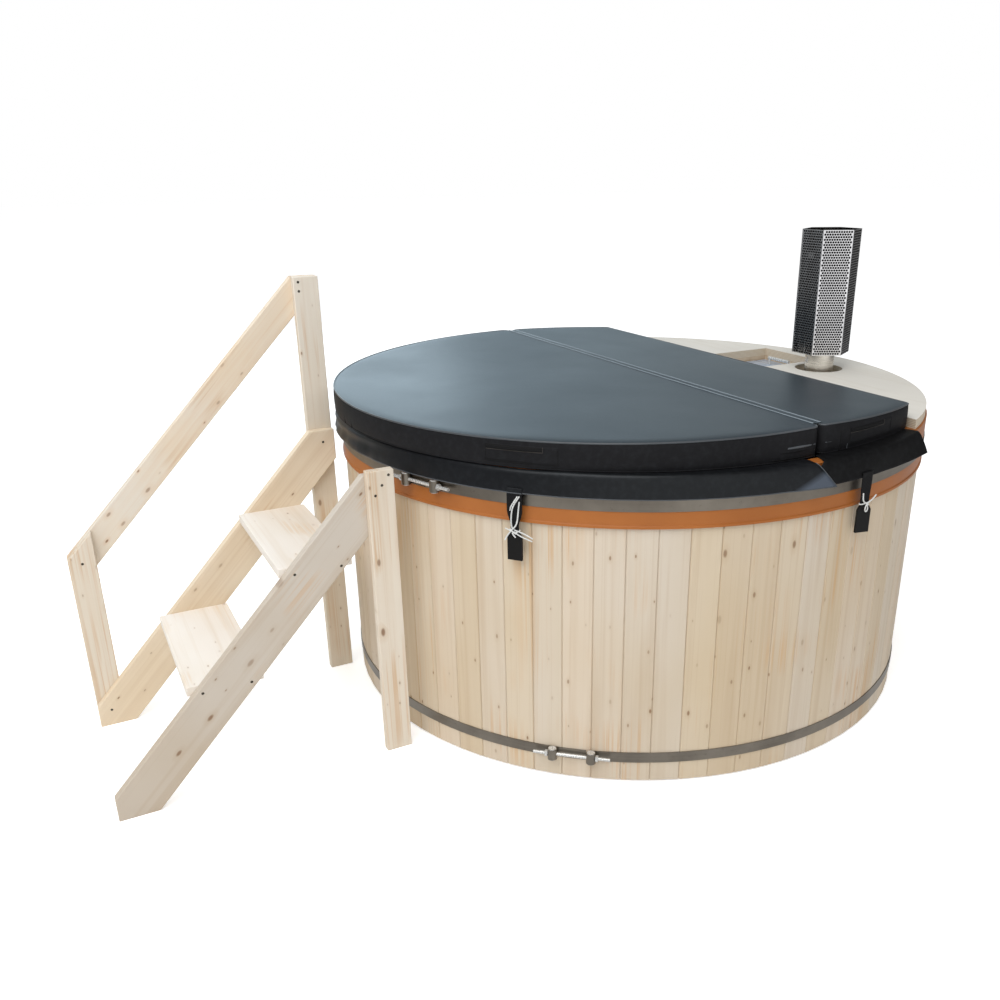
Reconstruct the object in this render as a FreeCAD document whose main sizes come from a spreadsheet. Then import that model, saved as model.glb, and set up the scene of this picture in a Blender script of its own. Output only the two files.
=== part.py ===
"""Wood-fired hot tub: stave tub with liner, stove deck, folding cover and stairs, in millimetres.

The origin is on the tub's upright axis at floor level. +Z is up, +Y runs from the stairs through
the tub to the stove, and +X is the side of the stairs that has no handrail.
"""
import FreeCAD, Part
import math
import os
import re
import Sketcher
from FreeCAD import Rotation, Vector

SIZES = [
    # tub wall and liner
    ("tub_radius", 1000, "circle round the corners of the stave ring"),
    ("stave_count", 72, "staves in the ring"),
    ("stave_thick", 28, "stave thickness"),
    ("stave_gap", 0.4, "joint between two staves"),
    ("edge_ease", 2.5, "bevel on each outer stave edge"),
    ("stave_base", 5, "stave ends above the ground"),
    ("rim_height", 953, "top of the liner's rim above the ground"),
    ("liner_wall", 5, "liner thickness"),
    ("rim_drop", 150, "depth of the rim's outer drop"),
    ("lip_depth", 3, "how far the lip at the foot of the drop stands out"),
    ("lip_height", 9, "height of that lip"),
    ("fit", 0.3, "clearance between pieces that seat in one another"),
    # floor
    ("bearer_height", 60, "floor bearer height"),
    ("bearer_width", 70, "floor bearer width"),
    ("bearer_spacing", 520, "distance between floor bearers"),
    ("bearer_end_gap", 8, "bearer end to the stave ring"),
    ("floor_thick", 28, "floor panel thickness"),
    # hoops and their tensioners
    ("hoop_width", 33, "hoop band width"),
    ("hoop_thick", 2, "hoop band thickness"),
    ("lower_hoop_height", 67.5, "lower hoop's lower edge"),
    ("hoop_hem_gap", 6, "upper hoop below the cover's hem"),
    ("lower_hoop_angle", -40.7, "place of the lower tensioner round the tub"),
    ("upper_hoop_angle", -67.8, "place of the upper tensioner round the tub"),
    ("eye_radius", 14, "outside of a rolled band eye"),
    ("eye_spacing", 116, "distance between the two eyes"),
    ("tongue_gap", 3, "end of the band's tongue to the far eye"),
    ("pin_stand", 2, "barrel pin past each end of its eye"),
    ("rod_radius", 5, "tension rod"),
    ("rod_length", 230, "tension rod length"),
    ("rod_clearance", 0.4, "rod in its holes"),
    ("nut_width", 17, "nut across its flats"),
    ("nut_thick", 8, "nut thickness"),
    # deck, hatch and fence
    ("deck_thick", 30, "deck panel thickness"),
    ("deck_front", 83, "deck's straight edge in front of the firebox"),
    ("hatch_center", -135, "middle of the hatch opening across the deck"),
    ("hatch_width", 310, "hatch opening across the deck"),
    ("hatch_setback", 15, "hatch's front edge behind the firebox's front wall"),
    ("hatch_board", 18, "thickness of the boards that line the hatch"),
    ("hatch_board_height", 50, "height of those boards"),
    ("beam_width", 48, "deck beam and fence post section"),
    ("beam_height", 60, "deck beam height"),
    ("beam_inset", 8, "deck beam behind the deck's straight edge"),
    ("beam_end_gap", 6, "deck beam end to the liner"),
    ("inner_post_place", 270, "inner fence posts from the middle"),
    ("outer_post_inset", 119, "outer fence posts from the beam's ends"),
    ("slat_thick", 20, "fence slat thickness"),
    ("slat_height", 72, "fence slat height"),
    ("slat_count", 8, "fence slats"),
    ("slat_end_gap", 4, "fence slat end to the liner"),
    # bench
    ("bench_height", 480, "top of the bench above the ground"),
    ("bench_inset", 50, "outer corners of the bench inside the stave ring's circle"),
    ("bench_slat", 105, "bench slat width"),
    ("bench_gap", 12, "space between bench slats"),
    ("bench_thick", 28, "bench slat and support thickness"),
    ("bench_section_angle", 30, "angle of one bench section"),
    ("bench_sections", 5, "bench sections"),
    ("bench_joint", 4, "space between bench sections"),
    # stove
    ("stove_center", -40, "middle of the firebox across the tub"),
    ("stove_width", 580, "firebox width"),
    ("stove_inset", 115, "firebox's back wall inside the stave ring's circle"),
    ("stove_depth", 340, "firebox depth"),
    ("stove_leg", 40, "firebox above the liner floor"),
    ("leg_size", 36, "firebox leg section"),
    ("stove_height", 560, "firebox height"),
    ("stove_wall", 4, "firebox sheet"),
    ("throat_gap", 12, "loading throat to the hatch boards"),
    ("grate_height", 60, "grate above the firebox floor"),
    ("grate_thick", 10, "grate thickness"),
    ("grate_gap", 3, "grate to the firebox walls"),
    ("grate_slot", 14, "slot in the grate"),
    ("grate_slots", 12, "slots in the grate"),
    ("grate_margin", 34, "solid edge of the grate"),
    ("ledge_size", 20, "grate ledge section"),
    ("collar_height", 60, "flue collar on the firebox"),
    ("collar_wall", 2, "flue collar thickness"),
    ("collar_slip", 0.4, "flue collar in the flue"),
    # stove lid
    ("lid_sink", 45, "lid top below the deck top"),
    ("lid_thick", 4, "lid plate"),
    ("lid_gap", 8, "lid to the hatch boards"),
    ("lid_seat", 1, "lid above the throat's edge"),
    ("hinge_inset", 14, "lid hinge from the hatch's front edge"),
    ("hinge_rise", 9, "lid hinge above the lid top"),
    ("hinge_pin", 4, "lid hinge pin radius"),
    ("hinge_run", 0.05, "hinge pin in its knuckle"),
    ("knuckle_radius", 10, "lid hinge knuckle"),
    ("knuckle_length", 200, "lid hinge knuckle length"),
    ("ear_thick", 6, "hinge ear thickness"),
    ("ear_gap", 1.5, "knuckle to a hinge ear"),
    ("ear_height", 60, "hinge ear from its foot to the pin"),
    ("handle_length", 120, "lid handle bar"),
    ("handle_bar", 6, "lid handle bar radius"),
    ("handle_leg", 5, "lid handle leg radius"),
    ("handle_rise", 26, "lid handle bar above the lid"),
    ("handle_inset", 55, "lid handle from the lid's far edge"),
    ("damper_radius", 62, "air damper disc"),
    ("damper_thick", 3, "air damper disc thickness"),
    ("damper_place", 120, "air damper from the lid hinge"),
    ("vent_radius", 13, "air hole in lid and damper"),
    ("vent_circle", 38, "circle of the air holes"),
    ("vent_count", 4, "air holes"),
    ("knob_radius", 7, "air damper knob"),
    ("knob_height", 16, "air damper knob height"),
    # flue and heat guard
    ("flue_across", 138, "flue axis across the tub"),
    ("flue_inset", 231, "flue axis behind the firebox's front wall"),
    ("flue_radius", 53, "flue pipe"),
    ("flue_wall", 1.5, "flue pipe sheet"),
    ("flue_hole", 87, "hole for the flue in the deck"),
    ("flue_recess", 4, "flue end below the guard's top"),
    ("socket_depth", 60, "socket for the next flue length"),
    ("socket_slip", 0.3, "flue in such a socket"),
    ("guard_flats", 184, "heat guard across its flats"),
    ("guard_sheet", 1.5, "heat guard sheet"),
    ("guard_stand", 62, "heat guard above the deck"),
    ("guard_height", 440, "heat guard height"),
    ("clip_width", 30, "guard clip width"),
    ("clip_thick", 2, "guard clip thickness"),
    ("clip_leg", 22, "guard clip's bent leg"),
    ("clip_inset", 12, "guard clip from the guard's end"),
    # cover
    ("cover_inset", 34, "front panel's round edge inside the stave ring's circle"),
    ("cover_shift", 58, "middle of the front panel's round edge towards the stairs"),
    ("fold_place", 12, "fold from the tub axis"),
    ("rear_inset", 44, "rear panel's round edge inside the stave ring's circle"),
    ("rear_shift", 38, "middle of the rear panel's round edge towards the stove"),
    ("cover_gap", 7, "cover's straight rear edge to the deck"),
    ("cover_ridge", 87, "cover thickness at the fold"),
    ("cover_edge", 76, "cover thickness at its outer edges"),
    ("cover_bevel", 9, "bevel round the cover's top"),
    ("welt_radius", 5, "welt along the fold"),
    ("welt_gap", 0.4, "welt to each panel"),
    ("skirt_stand", 5.7, "skirt outside the rim at its top"),
    ("hem_flare", 15, "how far the hem stands out past the skirt's top"),
    ("skirt_drop", 63, "hem below the rim"),
    ("skirt_thick", 2, "skirt thickness"),
    ("skirt_split", 20, "front skirt's hem corner before the fold"),
    ("split_slant", 42, "how much further from the fold the front skirt's top stops"),
    ("corner_flare", 16, "how far the skirts' free corners stand out past the hem"),
    ("flare_angle", 12, "angle over which a corner flares"),
    ("crease_count", 3, "hollows in the front skirt's hem"),
    ("crease_depth", 7, "depth of a hollow in the hem"),
    ("crease_step_angle", 5.5, "angle from a hollow's middle to the crest beside it"),
    ("crease_angle", -93, "middle of the hollows round the tub"),
    ("grip_height", 50, "sewn handle height"),
    ("grip_thick", 3, "sewn handle thickness"),
    ("grip_sweep_angle", 12.4, "sewn handle's angle along the edge"),
    ("grip_low", 15, "sewn handle above the rim"),
    ("front_grip_angle", -46.6, "front panel handle"),
    ("rear_grip_angle", 11.2, "rear panel handle"),
    ("front_strap_angle", -49.6, "front panel strap"),
    ("rear_strap_angle", 8, "rear panel strap"),
    ("front_strap_length", 109, "front strap from hem to tab"),
    ("rear_strap_length", 82, "rear strap from hem to tab"),
    ("strap_width", 44, "strap webbing width"),
    ("front_strap_neck", 24, "front strap webbing where the string draws it in"),
    ("rear_strap_neck", 38, "rear strap webbing where the string draws it in"),
    ("drawn_length", 60, "length over which a strap is drawn in"),
    ("strap_thick", 2.5, "strap webbing thickness"),
    ("strap_lap", 14, "strap sewn on the skirt above the hem"),
    ("tab_width", 44, "strap tab width"),
    ("tab_neck", 26, "strap tab width at its neck"),
    ("tab_shoulder", 16, "height of the tab's shoulders"),
    ("tab_height", 84, "strap tab height"),
    ("tab_thick", 8, "strap tab thickness"),
    ("rear_tab_twist_angle", 20, "how far a rear tab is turned to the front"),
    ("tie_radius", 2, "string tie"),
    # stairs
    ("stair_gap", 11, "stringers' rear cut outside the stave ring's circle"),
    ("stair_side", 335, "near stringer's outer face"),
    ("stair_pitch", 46.63, "slope of the stringers"),
    ("stair_run", 862, "stringer foot to its rear cut"),
    ("stringer_width", 129, "stringer board width"),
    ("stringer_thick", 28, "stringer board thickness"),
    ("stringer_nose", 71, "height of the stringer's front cut"),
    ("stringer_top", 895, "height of the stringer's top cut"),
    ("tread_length", 527, "tread between the stringers"),
    ("tread_depth", 215, "tread depth"),
    ("tread_thick", 28, "tread thickness"),
    ("lower_tread_height", 351, "lower tread's top"),
    ("lower_tread_place", 231, "lower tread's front edge from the foot"),
    ("upper_tread_height", 652, "upper tread's top"),
    ("upper_tread_place", 521, "upper tread's front edge from the foot"),
    ("post_width", 80, "post board width"),
    ("post_thick", 28, "post and handrail board thickness"),
    ("near_post_height", 912, "near post's top"),
    ("rail_post_height", 1385, "tall rail post's top"),
    ("low_post_height", 579, "lower rail post's front top corner"),
    ("low_post_base", 30, "lower rail post's foot above the ground"),
    ("rail_width", 85, "handrail board width"),
    ("screw_radius", 4, "screw head"),
    ("screw_head", 1.5, "screw head height"),
    ("screw_sink", 2.5, "depth of the screw recess"),
    ("screw_inset", 40, "tread screws from the tread's edges"),
    ("screw_edge", 16, "post screws from the post's edge and end"),
    ("screw_step", 28, "step between post screws"),
    # drain
    ("drain_inset", 300, "drain in the floor, inside the stave ring's circle"),
    ("drain_stave", 3, "stave that the drain pipe passes, counted from the tub's side"),
    ("drain_bore", 13, "drain waterway"),
    ("drain_wall", 3, "drain pipe wall"),
    ("drain_height", 32, "drain pipe axis above the ground"),
    ("strainer_radius", 38, "drain strainer"),
    ("strainer_thick", 4, "drain strainer thickness"),
    ("strainer_holes", 6, "holes in the strainer"),
    ("strainer_hole", 3.2, "strainer hole"),
    ("strainer_circle", 8, "circle of the strainer holes"),
    ("valve_radius", 26, "drain valve body"),
    ("valve_length", 64, "drain valve body length"),
    ("valve_stand", 14, "drain valve from the stave ring"),
    ("outlet_length", 30, "hose spigot on the valve"),
    ("stem_radius", 6, "drain valve stem"),
    ("stem_height", 14, "drain valve stem above the body"),
    ("stem_run", 0.05, "lever on the stem"),
    ("lever_length", 110, "valve lever"),
    ("lever_width", 20, "valve lever width"),
    ("lever_thick", 5, "valve lever thickness"),
]

# Places that several pieces share, as expressions of the sizes above.
STAVE_FLAT = "(tub_radius * cos(180 / stave_count))"
STAVE_BACK = f"({STAVE_FLAT} - stave_thick)"
STAVE_TAPER = "tan(180 / stave_count)"
LINER_OUT = f"({STAVE_BACK} - fit)"
LINER_IN = f"({LINER_OUT} - liner_wall)"
RIM_OUT = "(tub_radius + fit + liner_wall)"
LINER_FLOOR = "(bearer_height + floor_thick + liner_wall)"
DECK_TOP = "(rim_height + deck_thick)"
STOVE_FRONT = "(tub_radius - stove_inset - stove_depth)"
DECK_EDGE = f"({STOVE_FRONT} - deck_front)"
BEAM_FRONT = f"({DECK_EDGE} + beam_inset)"
BEAM_BACK = f"({BEAM_FRONT} + beam_width)"
BEAM_BASE = "(rim_height - beam_height)"
BENCH_EDGE = "((tub_radius - bench_inset) * cos(bench_section_angle / 2))"
BENCH_FRONT = f"({BENCH_EDGE} - 2 * bench_slat - bench_gap)"
HATCH_LEFT = "(hatch_center - hatch_width / 2)"
HATCH_FRONT = f"({STOVE_FRONT} + hatch_setback)"
HATCH_DEPTH = "(stove_depth - hatch_setback)"
STOVE_BASE = f"({LINER_FLOOR} + stove_leg)"
STOVE_TOP = f"({STOVE_BASE} + stove_height)"
STOVE_LEFT = "(stove_center - stove_width / 2)"
LID_TOP = f"({DECK_TOP} - lid_sink)"
LID_BASE = f"({LID_TOP} - lid_thick)"
THROAT_TOP = f"({LID_BASE} - lid_seat)"
THROAT_LEFT = f"({HATCH_LEFT} + throat_gap)"
THROAT_FRONT = f"({HATCH_FRONT} + throat_gap)"
THROAT_WIDTH = "(hatch_width - 2 * throat_gap)"
THROAT_DEPTH = f"({HATCH_DEPTH} - 2 * throat_gap)"
HINGE_Y = f"({HATCH_FRONT} + hinge_inset)"
HINGE_Z = f"({LID_TOP} + hinge_rise)"
PIN_HALF = "(knuckle_length / 2 + ear_gap + ear_thick)"
DAMPER_Y = f"({HINGE_Y} + damper_place)"
FLUE_BACK = f"({STOVE_FRONT} + flue_inset)"
GUARD_BASE = f"({DECK_TOP} + guard_stand)"
GUARD_TOP = f"({GUARD_BASE} + guard_height)"
FLUE_TOP = f"({GUARD_TOP} - flue_recess)"
SOCKET_BASE = f"({FLUE_TOP} - socket_depth - flue_wall)"
COVER_RADIUS = "(tub_radius - cover_inset)"
FRONT_ROUND = ("-cover_shift", COVER_RADIUS)
REAR_ROUND = ("rear_shift", "(tub_radius - rear_inset)")
COVER_BACK = f"({DECK_EDGE} - cover_gap)"
COVER_BASE = "(rim_height + fit)"
COVER_TOP = f"({COVER_BASE} + cover_ridge)"
PANEL_GAP = "(welt_radius + welt_gap)"
SKIRT_TOP = f"({RIM_OUT} + skirt_stand)"
SKIRT_HEM = f"({SKIRT_TOP} + hem_flare)"
HEM = "(rim_height - skirt_drop)"
UPPER_HOOP = f"({HEM} - hoop_hem_gap - hoop_width)"
STRAP_FACE = f"({SKIRT_HEM} + fit + strap_thick)"
STRAP_MIDDLE = f"({STRAP_FACE} - strap_thick / 2)"
SLOPE = "tan(stair_pitch)"
STAIR_FOOT = "(tub_radius + stair_gap + stair_run)"
NEAR_INNER = "(stair_side - stringer_thick)"
FAR_INNER = f"({NEAR_INNER} - tread_length)"
FAR_OUTER = f"({FAR_INNER} - stringer_thick)"
POST_PLACE = "(stair_run - post_width)"
RAIL_SLOPE = f"((rail_post_height - low_post_height) / {POST_PLACE})"
RAIL_DROP = f"(rail_width * sqrt(1 + {RAIL_SLOPE} ^ 2))"
DRAIN_ACROSS = "(drain_inset - tub_radius)"
DRAIN_BACK = "(tub_radius * sin(360 * drain_stave / stave_count))"
DRAIN_PIPE = "(drain_bore + drain_wall)"
VALVE_START = "(tub_radius + valve_stand)"
VALVE_MIDDLE = "(tub_radius + valve_stand + valve_length / 2)"

doc = FreeCAD.newDocument("hot_tub")
dims = doc.addObject("Spreadsheet::Sheet", "dims")
for row, (size_name, size, note) in enumerate(SIZES, start=1):
    dims.set(f"A{row}", note)
    dims.set(f"B{row}", str(size))
    dims.setAlias(f"B{row}", size_name)
doc.recompute()

nodes = []
screw_heads = []


# Helpers that tie objects to the sheet

def tied(text):
    """An expression with each size name pointing at the sheet."""
    return re.sub(r"\b([a-z][a-z_]*[a-z])\b(?!\()", r"dims.\1", text)


def value(text):
    """The present value of an expression."""
    return float(dims.evalExpression(tied(text)))


def bind(item, prop, text):
    item.setExpression(prop, tied(text))


def place(item, x="0", y="0", z="0", turn=None):
    """Put an object at a point and, where asked, turn it about its own Z axis."""
    for axis, text in zip("xyz", (x, y, z)):
        bind(item, f"Placement.Base.{axis}", text)
    if turn is not None:
        bind(item, "Placement.Rotation.Angle", turn)
    return item


def node(item, label):
    """Keep an object as a sub-part under its own name."""
    item.Label = label
    nodes.append(item)
    return item


def box(name, x, y, z, length, width, height):
    item = doc.addObject("Part::Box", name)
    for prop, text in zip(("Length", "Width", "Height"), (length, width, height)):
        bind(item, prop, text)
    return place(item, x, y, z)


def cylinder(name, x, y, z, radius, height, axis="z"):
    """A round bar from a point along one axis."""
    item = doc.addObject("Part::Cylinder", name)
    bind(item, "Radius", radius)
    bind(item, "Height", height)
    if axis == "x":
        item.Placement.Rotation = Rotation(Vector(0, 1, 0), 90)
    if axis == "y":
        item.Placement.Rotation = Rotation(Vector(1, 0, 0), -90)
    return place(item, x, y, z)


def cone(name, z, low_radius, high_radius, height):
    item = doc.addObject("Part::Cone", name)
    for prop, text in zip(("Radius1", "Radius2", "Height"), (low_radius, high_radius, height)):
        bind(item, prop, text)
    return place(item, z=z)


def prism(name, x, y, z, across_flats, height):
    """A six-sided bar, given across its flats."""
    item = doc.addObject("Part::Prism", name)
    item.Polygon = 6
    bind(item, "Circumradius", f"({across_flats}) / (2 * cos(30))")
    bind(item, "Height", height)
    return place(item, x, y, z)


def cut(name, base, *tools):
    item = doc.addObject("Part::Cut", name)
    item.Base = base
    item.Tool = tools[0] if len(tools) == 1 else group(f"{name}_tools", tools)
    return item


def fuse(name, *shapes):
    item = doc.addObject("Part::MultiFuse", name)
    item.Shapes = list(shapes)
    item.Refine = True
    return item


def common(name, *shapes):
    item = doc.addObject("Part::MultiCommon", name)
    item.Shapes = list(shapes)
    return item


def group(name, items):
    """Separate solids kept together, which can be turned about the tub axis as one."""
    item = doc.addObject("Part::Compound", name)
    item.Links = list(items)
    return item


def tube(name, x, y, z, outer, inner, height, axis="z"):
    skin = cylinder(f"{name}_outside", x, y, z, outer, height, axis)
    hollow = cylinder(f"{name}_inside", x, y, z, inner, height, axis)
    return cut(name, skin, hollow)


def origin_part(body, role):
    return next(part for part in body.Origin.OriginFeatures if part.Role == role)


def outline(body, name, plane, corners):
    """A closed sketch of straight sides on one of the body's planes, each corner bound to the sheet."""
    sketch = body.newObject("Sketcher::SketchObject", name)
    sketch.AttachmentSupport = (origin_part(body, plane), [""])
    sketch.MapMode = "FlatFace"
    spots = [Vector(value(across), value(along), 0) for across, along in corners]
    for index, spot in enumerate(spots):
        sketch.addGeometry(Part.LineSegment(spot, spots[(index + 1) % len(spots)]), False)
    for index in range(len(spots)):
        following = (index + 1) % len(spots)
        sketch.addConstraint(Sketcher.Constraint("Coincident", index, 2, following, 1))
    for index, (across, along) in enumerate(corners):
        for kind, text, spot in (("DistanceX", across, spots[index].x), ("DistanceY", along, spots[index].y)):
            number = sketch.addConstraint(Sketcher.Constraint(kind, -1, 1, index, 1, spot))
            bind(sketch, f"Constraints[{number}]", text)
    return sketch


def padded(name, plane, corners, length):
    """A body padded from an outline along the plane's normal."""
    body = doc.addObject("PartDesign::Body", name)
    body.AllowCompound = True
    pad = body.newObject("PartDesign::Pad", f"{name}_pad")
    pad.Profile = outline(body, f"{name}_outline", plane, corners)
    bind(pad, "Length", length)
    return body, pad


def around(body, feature, count, angle):
    """Repeat a body's features about its Z axis."""
    doc.recompute()
    pattern = body.newObject("PartDesign::PolarPattern", f"{body.Name}_ring")
    pattern.Originals = feature
    pattern.Axis = (origin_part(body, "Z_Axis"), [""])
    bind(pattern, "Angle", angle)
    bind(pattern, "Occurrences", count)
    body.Tip = pattern


# Tub wall, floor and liner

def wall_staves():
    """A ring of flat staves, with a hole near the ground for the drain pipe."""
    def half(radius):
        return f"({radius} * {STAVE_TAPER} - stave_gap / 2)"

    eased = f"({STAVE_FLAT} - edge_ease)"
    face_half = f"({half(STAVE_FLAT)} - edge_ease)"
    side = [(STAVE_BACK, half(STAVE_BACK)), (eased, half(eased)), (STAVE_FLAT, face_half)]
    corners = [(across, f"-{along}") for across, along in side] + side[::-1]
    body, pad = padded("stave_ring", "XY_Plane", corners, "rim_height - liner_wall - stave_base")
    around(body, [pad], "stave_count", "360")
    place(body, z="stave_base")
    passage = cylinder("drain_passage", "-tub_radius - fit", DRAIN_BACK, "drain_height",
                       f"{DRAIN_PIPE} + fit", f"tub_radius + {DRAIN_ACROSS}", "x")
    node(cut("wall_staves", body, passage), "wall_staves")


def floor_pieces():
    bearers = []
    for index, step in enumerate((-1, 0, 1)):
        middle = f"({step} * bearer_spacing)"
        far_side = f"(abs({middle}) + bearer_width / 2)"
        half = f"(sqrt({STAVE_BACK} ^ 2 - {far_side} ^ 2) - bearer_end_gap)"
        bearers.append(box(f"bearer_{index}", f"-{half}", f"{middle} - bearer_width / 2", "0",
                           f"2 * {half}", "bearer_width", "bearer_height"))
    node(group("floor_bearers", bearers), "floor_bearers")
    disc = cylinder("floor_disc", "0", "0", "bearer_height", LINER_OUT, "floor_thick")
    node(cut("floor_panel", disc, drain_hole("floor_drain_hole")), "floor_panel")


def drain_hole(name):
    return cylinder(name, DRAIN_ACROSS, DRAIN_BACK, "drain_height", f"{DRAIN_PIPE} + fit", LINER_FLOOR)


def liner_shell():
    """Liner floor, wall, rim and the drop outside the staves, turned about the tub axis."""
    foot = "(rim_height - rim_drop)"
    lip = f"({RIM_OUT} + lip_depth)"
    corners = [
        ("0", "bearer_height + floor_thick"),
        (LINER_OUT, "bearer_height + floor_thick"),
        (LINER_OUT, "rim_height - liner_wall"),
        ("tub_radius + fit", "rim_height - liner_wall"),
        ("tub_radius + fit", foot),
        (lip, foot),
        (lip, f"{foot} + lip_height - lip_depth"),
        (RIM_OUT, f"{foot} + lip_height"),
        (RIM_OUT, "rim_height - liner_wall / 2"),
        (f"{RIM_OUT} - liner_wall / 2", "rim_height"),
        (f"{LINER_IN} + liner_wall / 2", "rim_height"),
        (LINER_IN, "rim_height - liner_wall / 2"),
        (LINER_IN, LINER_FLOOR),
        ("0", LINER_FLOOR),
    ]
    body = doc.addObject("PartDesign::Body", "liner_body")
    turned = body.newObject("PartDesign::Revolution", "liner_turned")
    turned.Profile = outline(body, "liner_outline", "XZ_Plane", corners)
    turned.ReferenceAxis = (origin_part(body, "Z_Axis"), [""])
    turned.Angle = 360
    node(cut("liner_shell", body, drain_hole("liner_drain_hole")), "liner_shell")


# Hoops

def swing(share):
    """The angle with that sine, as a plain number of degrees."""
    return f"(90 * asin({share}) / asin(1))"


def hoop(name, base, inner, angle):
    """An open steel band with a rolled eye at each end, a barrel pin in each eye, a rod and its nuts."""
    outer = f"({inner} + hoop_thick)"
    reach = f"sqrt(({inner} + fit + eye_radius) ^ 2 - (eye_spacing / 2) ^ 2)"
    half_gap = swing(f"eye_spacing / 2 / {inner}")
    middle = f"({base} + hoop_width / 2)"
    drill = cylinder(f"{name}_rod_hole", reach, "-rod_length", middle, "rod_radius + rod_clearance",
                     "2 * rod_length", "y")

    def arc(part, radius, start, sweep):
        item = cylinder(f"{name}_{part}", "0", "0", base, radius, "hoop_width")
        bind(item, "Angle", sweep)
        return place(item, z=base, turn=start)

    sweep = f"(360 - 2 * {half_gap})"
    band = arc("band_outside", outer, half_gap, sweep)
    reach_out = f"(2 * {half_gap} - {swing(f'(eye_radius + tongue_gap) / {inner}')})"
    tongue = arc("tongue", f"({inner} + hoop_thick / 2)", f"-{half_gap}", reach_out)
    eyes = []
    pins = []
    nuts = []
    for side in (-1, 1):
        across = f"({side} * eye_spacing / 2)"
        tag = "left" if side < 0 else "right"
        eyes.append(cylinder(f"{name}_eye_{tag}", reach, across, base, "eye_radius", "hoop_width"))
        pin = cylinder(f"{name}_pin_{tag}", reach, across, f"{base} - pin_stand",
                       "eye_radius - hoop_thick - fit", "hoop_width + 2 * pin_stand")
        pins.append(cut(f"{name}_pin_{tag}_drilled", pin, drill))
        nut = prism(f"{name}_nut_{tag}", "0", "0", "0", "nut_width", "nut_thick")
        nut.Placement.Rotation = Rotation(Vector(1, 0, 0), -90)
        seat = f"({across} + {side} * eye_radius - nut_thick * {0 if side > 0 else 1})"
        place(nut, reach, seat, middle)
        bore = cylinder(f"{name}_nut_bore_{tag}", reach, f"{seat} - nut_thick", middle, "rod_radius",
                        "3 * nut_thick", "y")
        nuts.append(cut(f"{name}_nut_{tag}_bored", nut, bore))
    below = f"({base} - hoop_width)"
    eye_holes = [cylinder(f"{name}_eye_hole_{index}", reach, f"({side} * eye_spacing / 2)", below,
                          "eye_radius - hoop_thick", "3 * hoop_width") for index, side in enumerate((-1, 1))]
    core = cylinder(f"{name}_core", "0", "0", below, inner, "3 * hoop_width")
    band = cut(f"{name}_turned", fuse(f"{name}_welded", band, tongue, *eyes), core, drill, *eye_holes)
    rod = cylinder(f"{name}_rod", reach, "-rod_length / 2", middle, "rod_radius", "rod_length", "y")
    parts = [group(f"{name}_{part}", items) for part, items in
             (("band", [band]), ("barrels", pins), ("rods", [rod]), ("nuts", nuts))]
    return [place(part, turn=angle) for part in parts]


def hoops():
    lower = hoop("lower_hoop", "lower_hoop_height", "(tub_radius + fit)", "lower_hoop_angle")
    upper = hoop("upper_hoop", UPPER_HOOP, f"({RIM_OUT} + fit)", "upper_hoop_angle")
    node(lower[0], "lower_hoop")
    node(upper[0], "upper_hoop")
    for index, label in enumerate(("hoop_barrels", "hoop_rods", "hoop_nuts"), start=1):
        node(group(label, [lower[index], upper[index]]), label)


# Deck, hatch and fence

def stove_deck():
    disc = cylinder("deck_disc", "0", "0", "rim_height", "tub_radius", "deck_thick")
    rear = box("deck_rear", "-tub_radius", DECK_EDGE, "rim_height",
               "2 * tub_radius", "tub_radius", "deck_thick")
    hatch = box("deck_hatch", HATCH_LEFT, HATCH_FRONT, "rim_height",
                "hatch_width", HATCH_DEPTH, "deck_thick")
    hole = cylinder("deck_flue_hole", "flue_across", FLUE_BACK, "rim_height", "flue_hole", "deck_thick")
    node(cut("stove_deck", common("deck_segment", disc, rear), hatch, hole), "stove_deck")


def hatch_boards():
    base = "(rim_height - hatch_board_height)"
    outer_left = f"({HATCH_LEFT} - hatch_board)"
    long_side = "(hatch_width + 2 * hatch_board)"
    boards = [
        box("hatch_front_board", outer_left, f"{HATCH_FRONT} - hatch_board", base,
            long_side, "hatch_board", "hatch_board_height"),
        box("hatch_back_board", outer_left, f"{HATCH_FRONT} + {HATCH_DEPTH}", base,
            long_side, "hatch_board", "hatch_board_height"),
        box("hatch_left_board", outer_left, HATCH_FRONT, base,
            "hatch_board", HATCH_DEPTH, "hatch_board_height"),
        box("hatch_right_board", f"{HATCH_LEFT} + hatch_width", HATCH_FRONT, base,
            "hatch_board", HATCH_DEPTH, "hatch_board_height"),
    ]
    node(group("hatch_frame", boards), "hatch_frame")


def fence():
    """Deck beam on fence posts, with slats on the bathers' side."""
    half = f"(sqrt({LINER_IN} ^ 2 - {BEAM_BACK} ^ 2) - beam_end_gap)"
    beam = box("deck_beam", f"-{half}", BEAM_FRONT, BEAM_BASE, f"2 * {half}", "beam_width", "beam_height")
    node(beam, "deck_beam")
    outer = f"({half} - outer_post_inset)"
    posts = [box(f"fence_post_{index}", f"{across} - beam_width / 2", BEAM_FRONT, LINER_FLOOR,
                 "beam_width", "beam_width", f"{BEAM_BASE} - {LINER_FLOOR}")
             for index, across in enumerate((f"-{outer}", "-inner_post_place", "inner_post_place", outer))]
    node(group("fence_posts", posts), "fence_posts")
    reach = f"(sqrt({LINER_IN} ^ 2 - {BEAM_FRONT} ^ 2) - slat_end_gap)"
    gap = f"((rim_height - {LINER_FLOOR} - slat_count * slat_height) / (slat_count + 1))"
    slats = [box(f"fence_slat_{index}", f"-{reach}", f"{BEAM_FRONT} - slat_thick",
                 f"{LINER_FLOOR} + {gap} + {index} * (slat_height + {gap})",
                 f"2 * {reach}", "slat_thick", "slat_height")
             for index in range(int(value("slat_count")))]
    node(group("fence_slats", slats), "fence_slats")


# Bench

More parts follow.
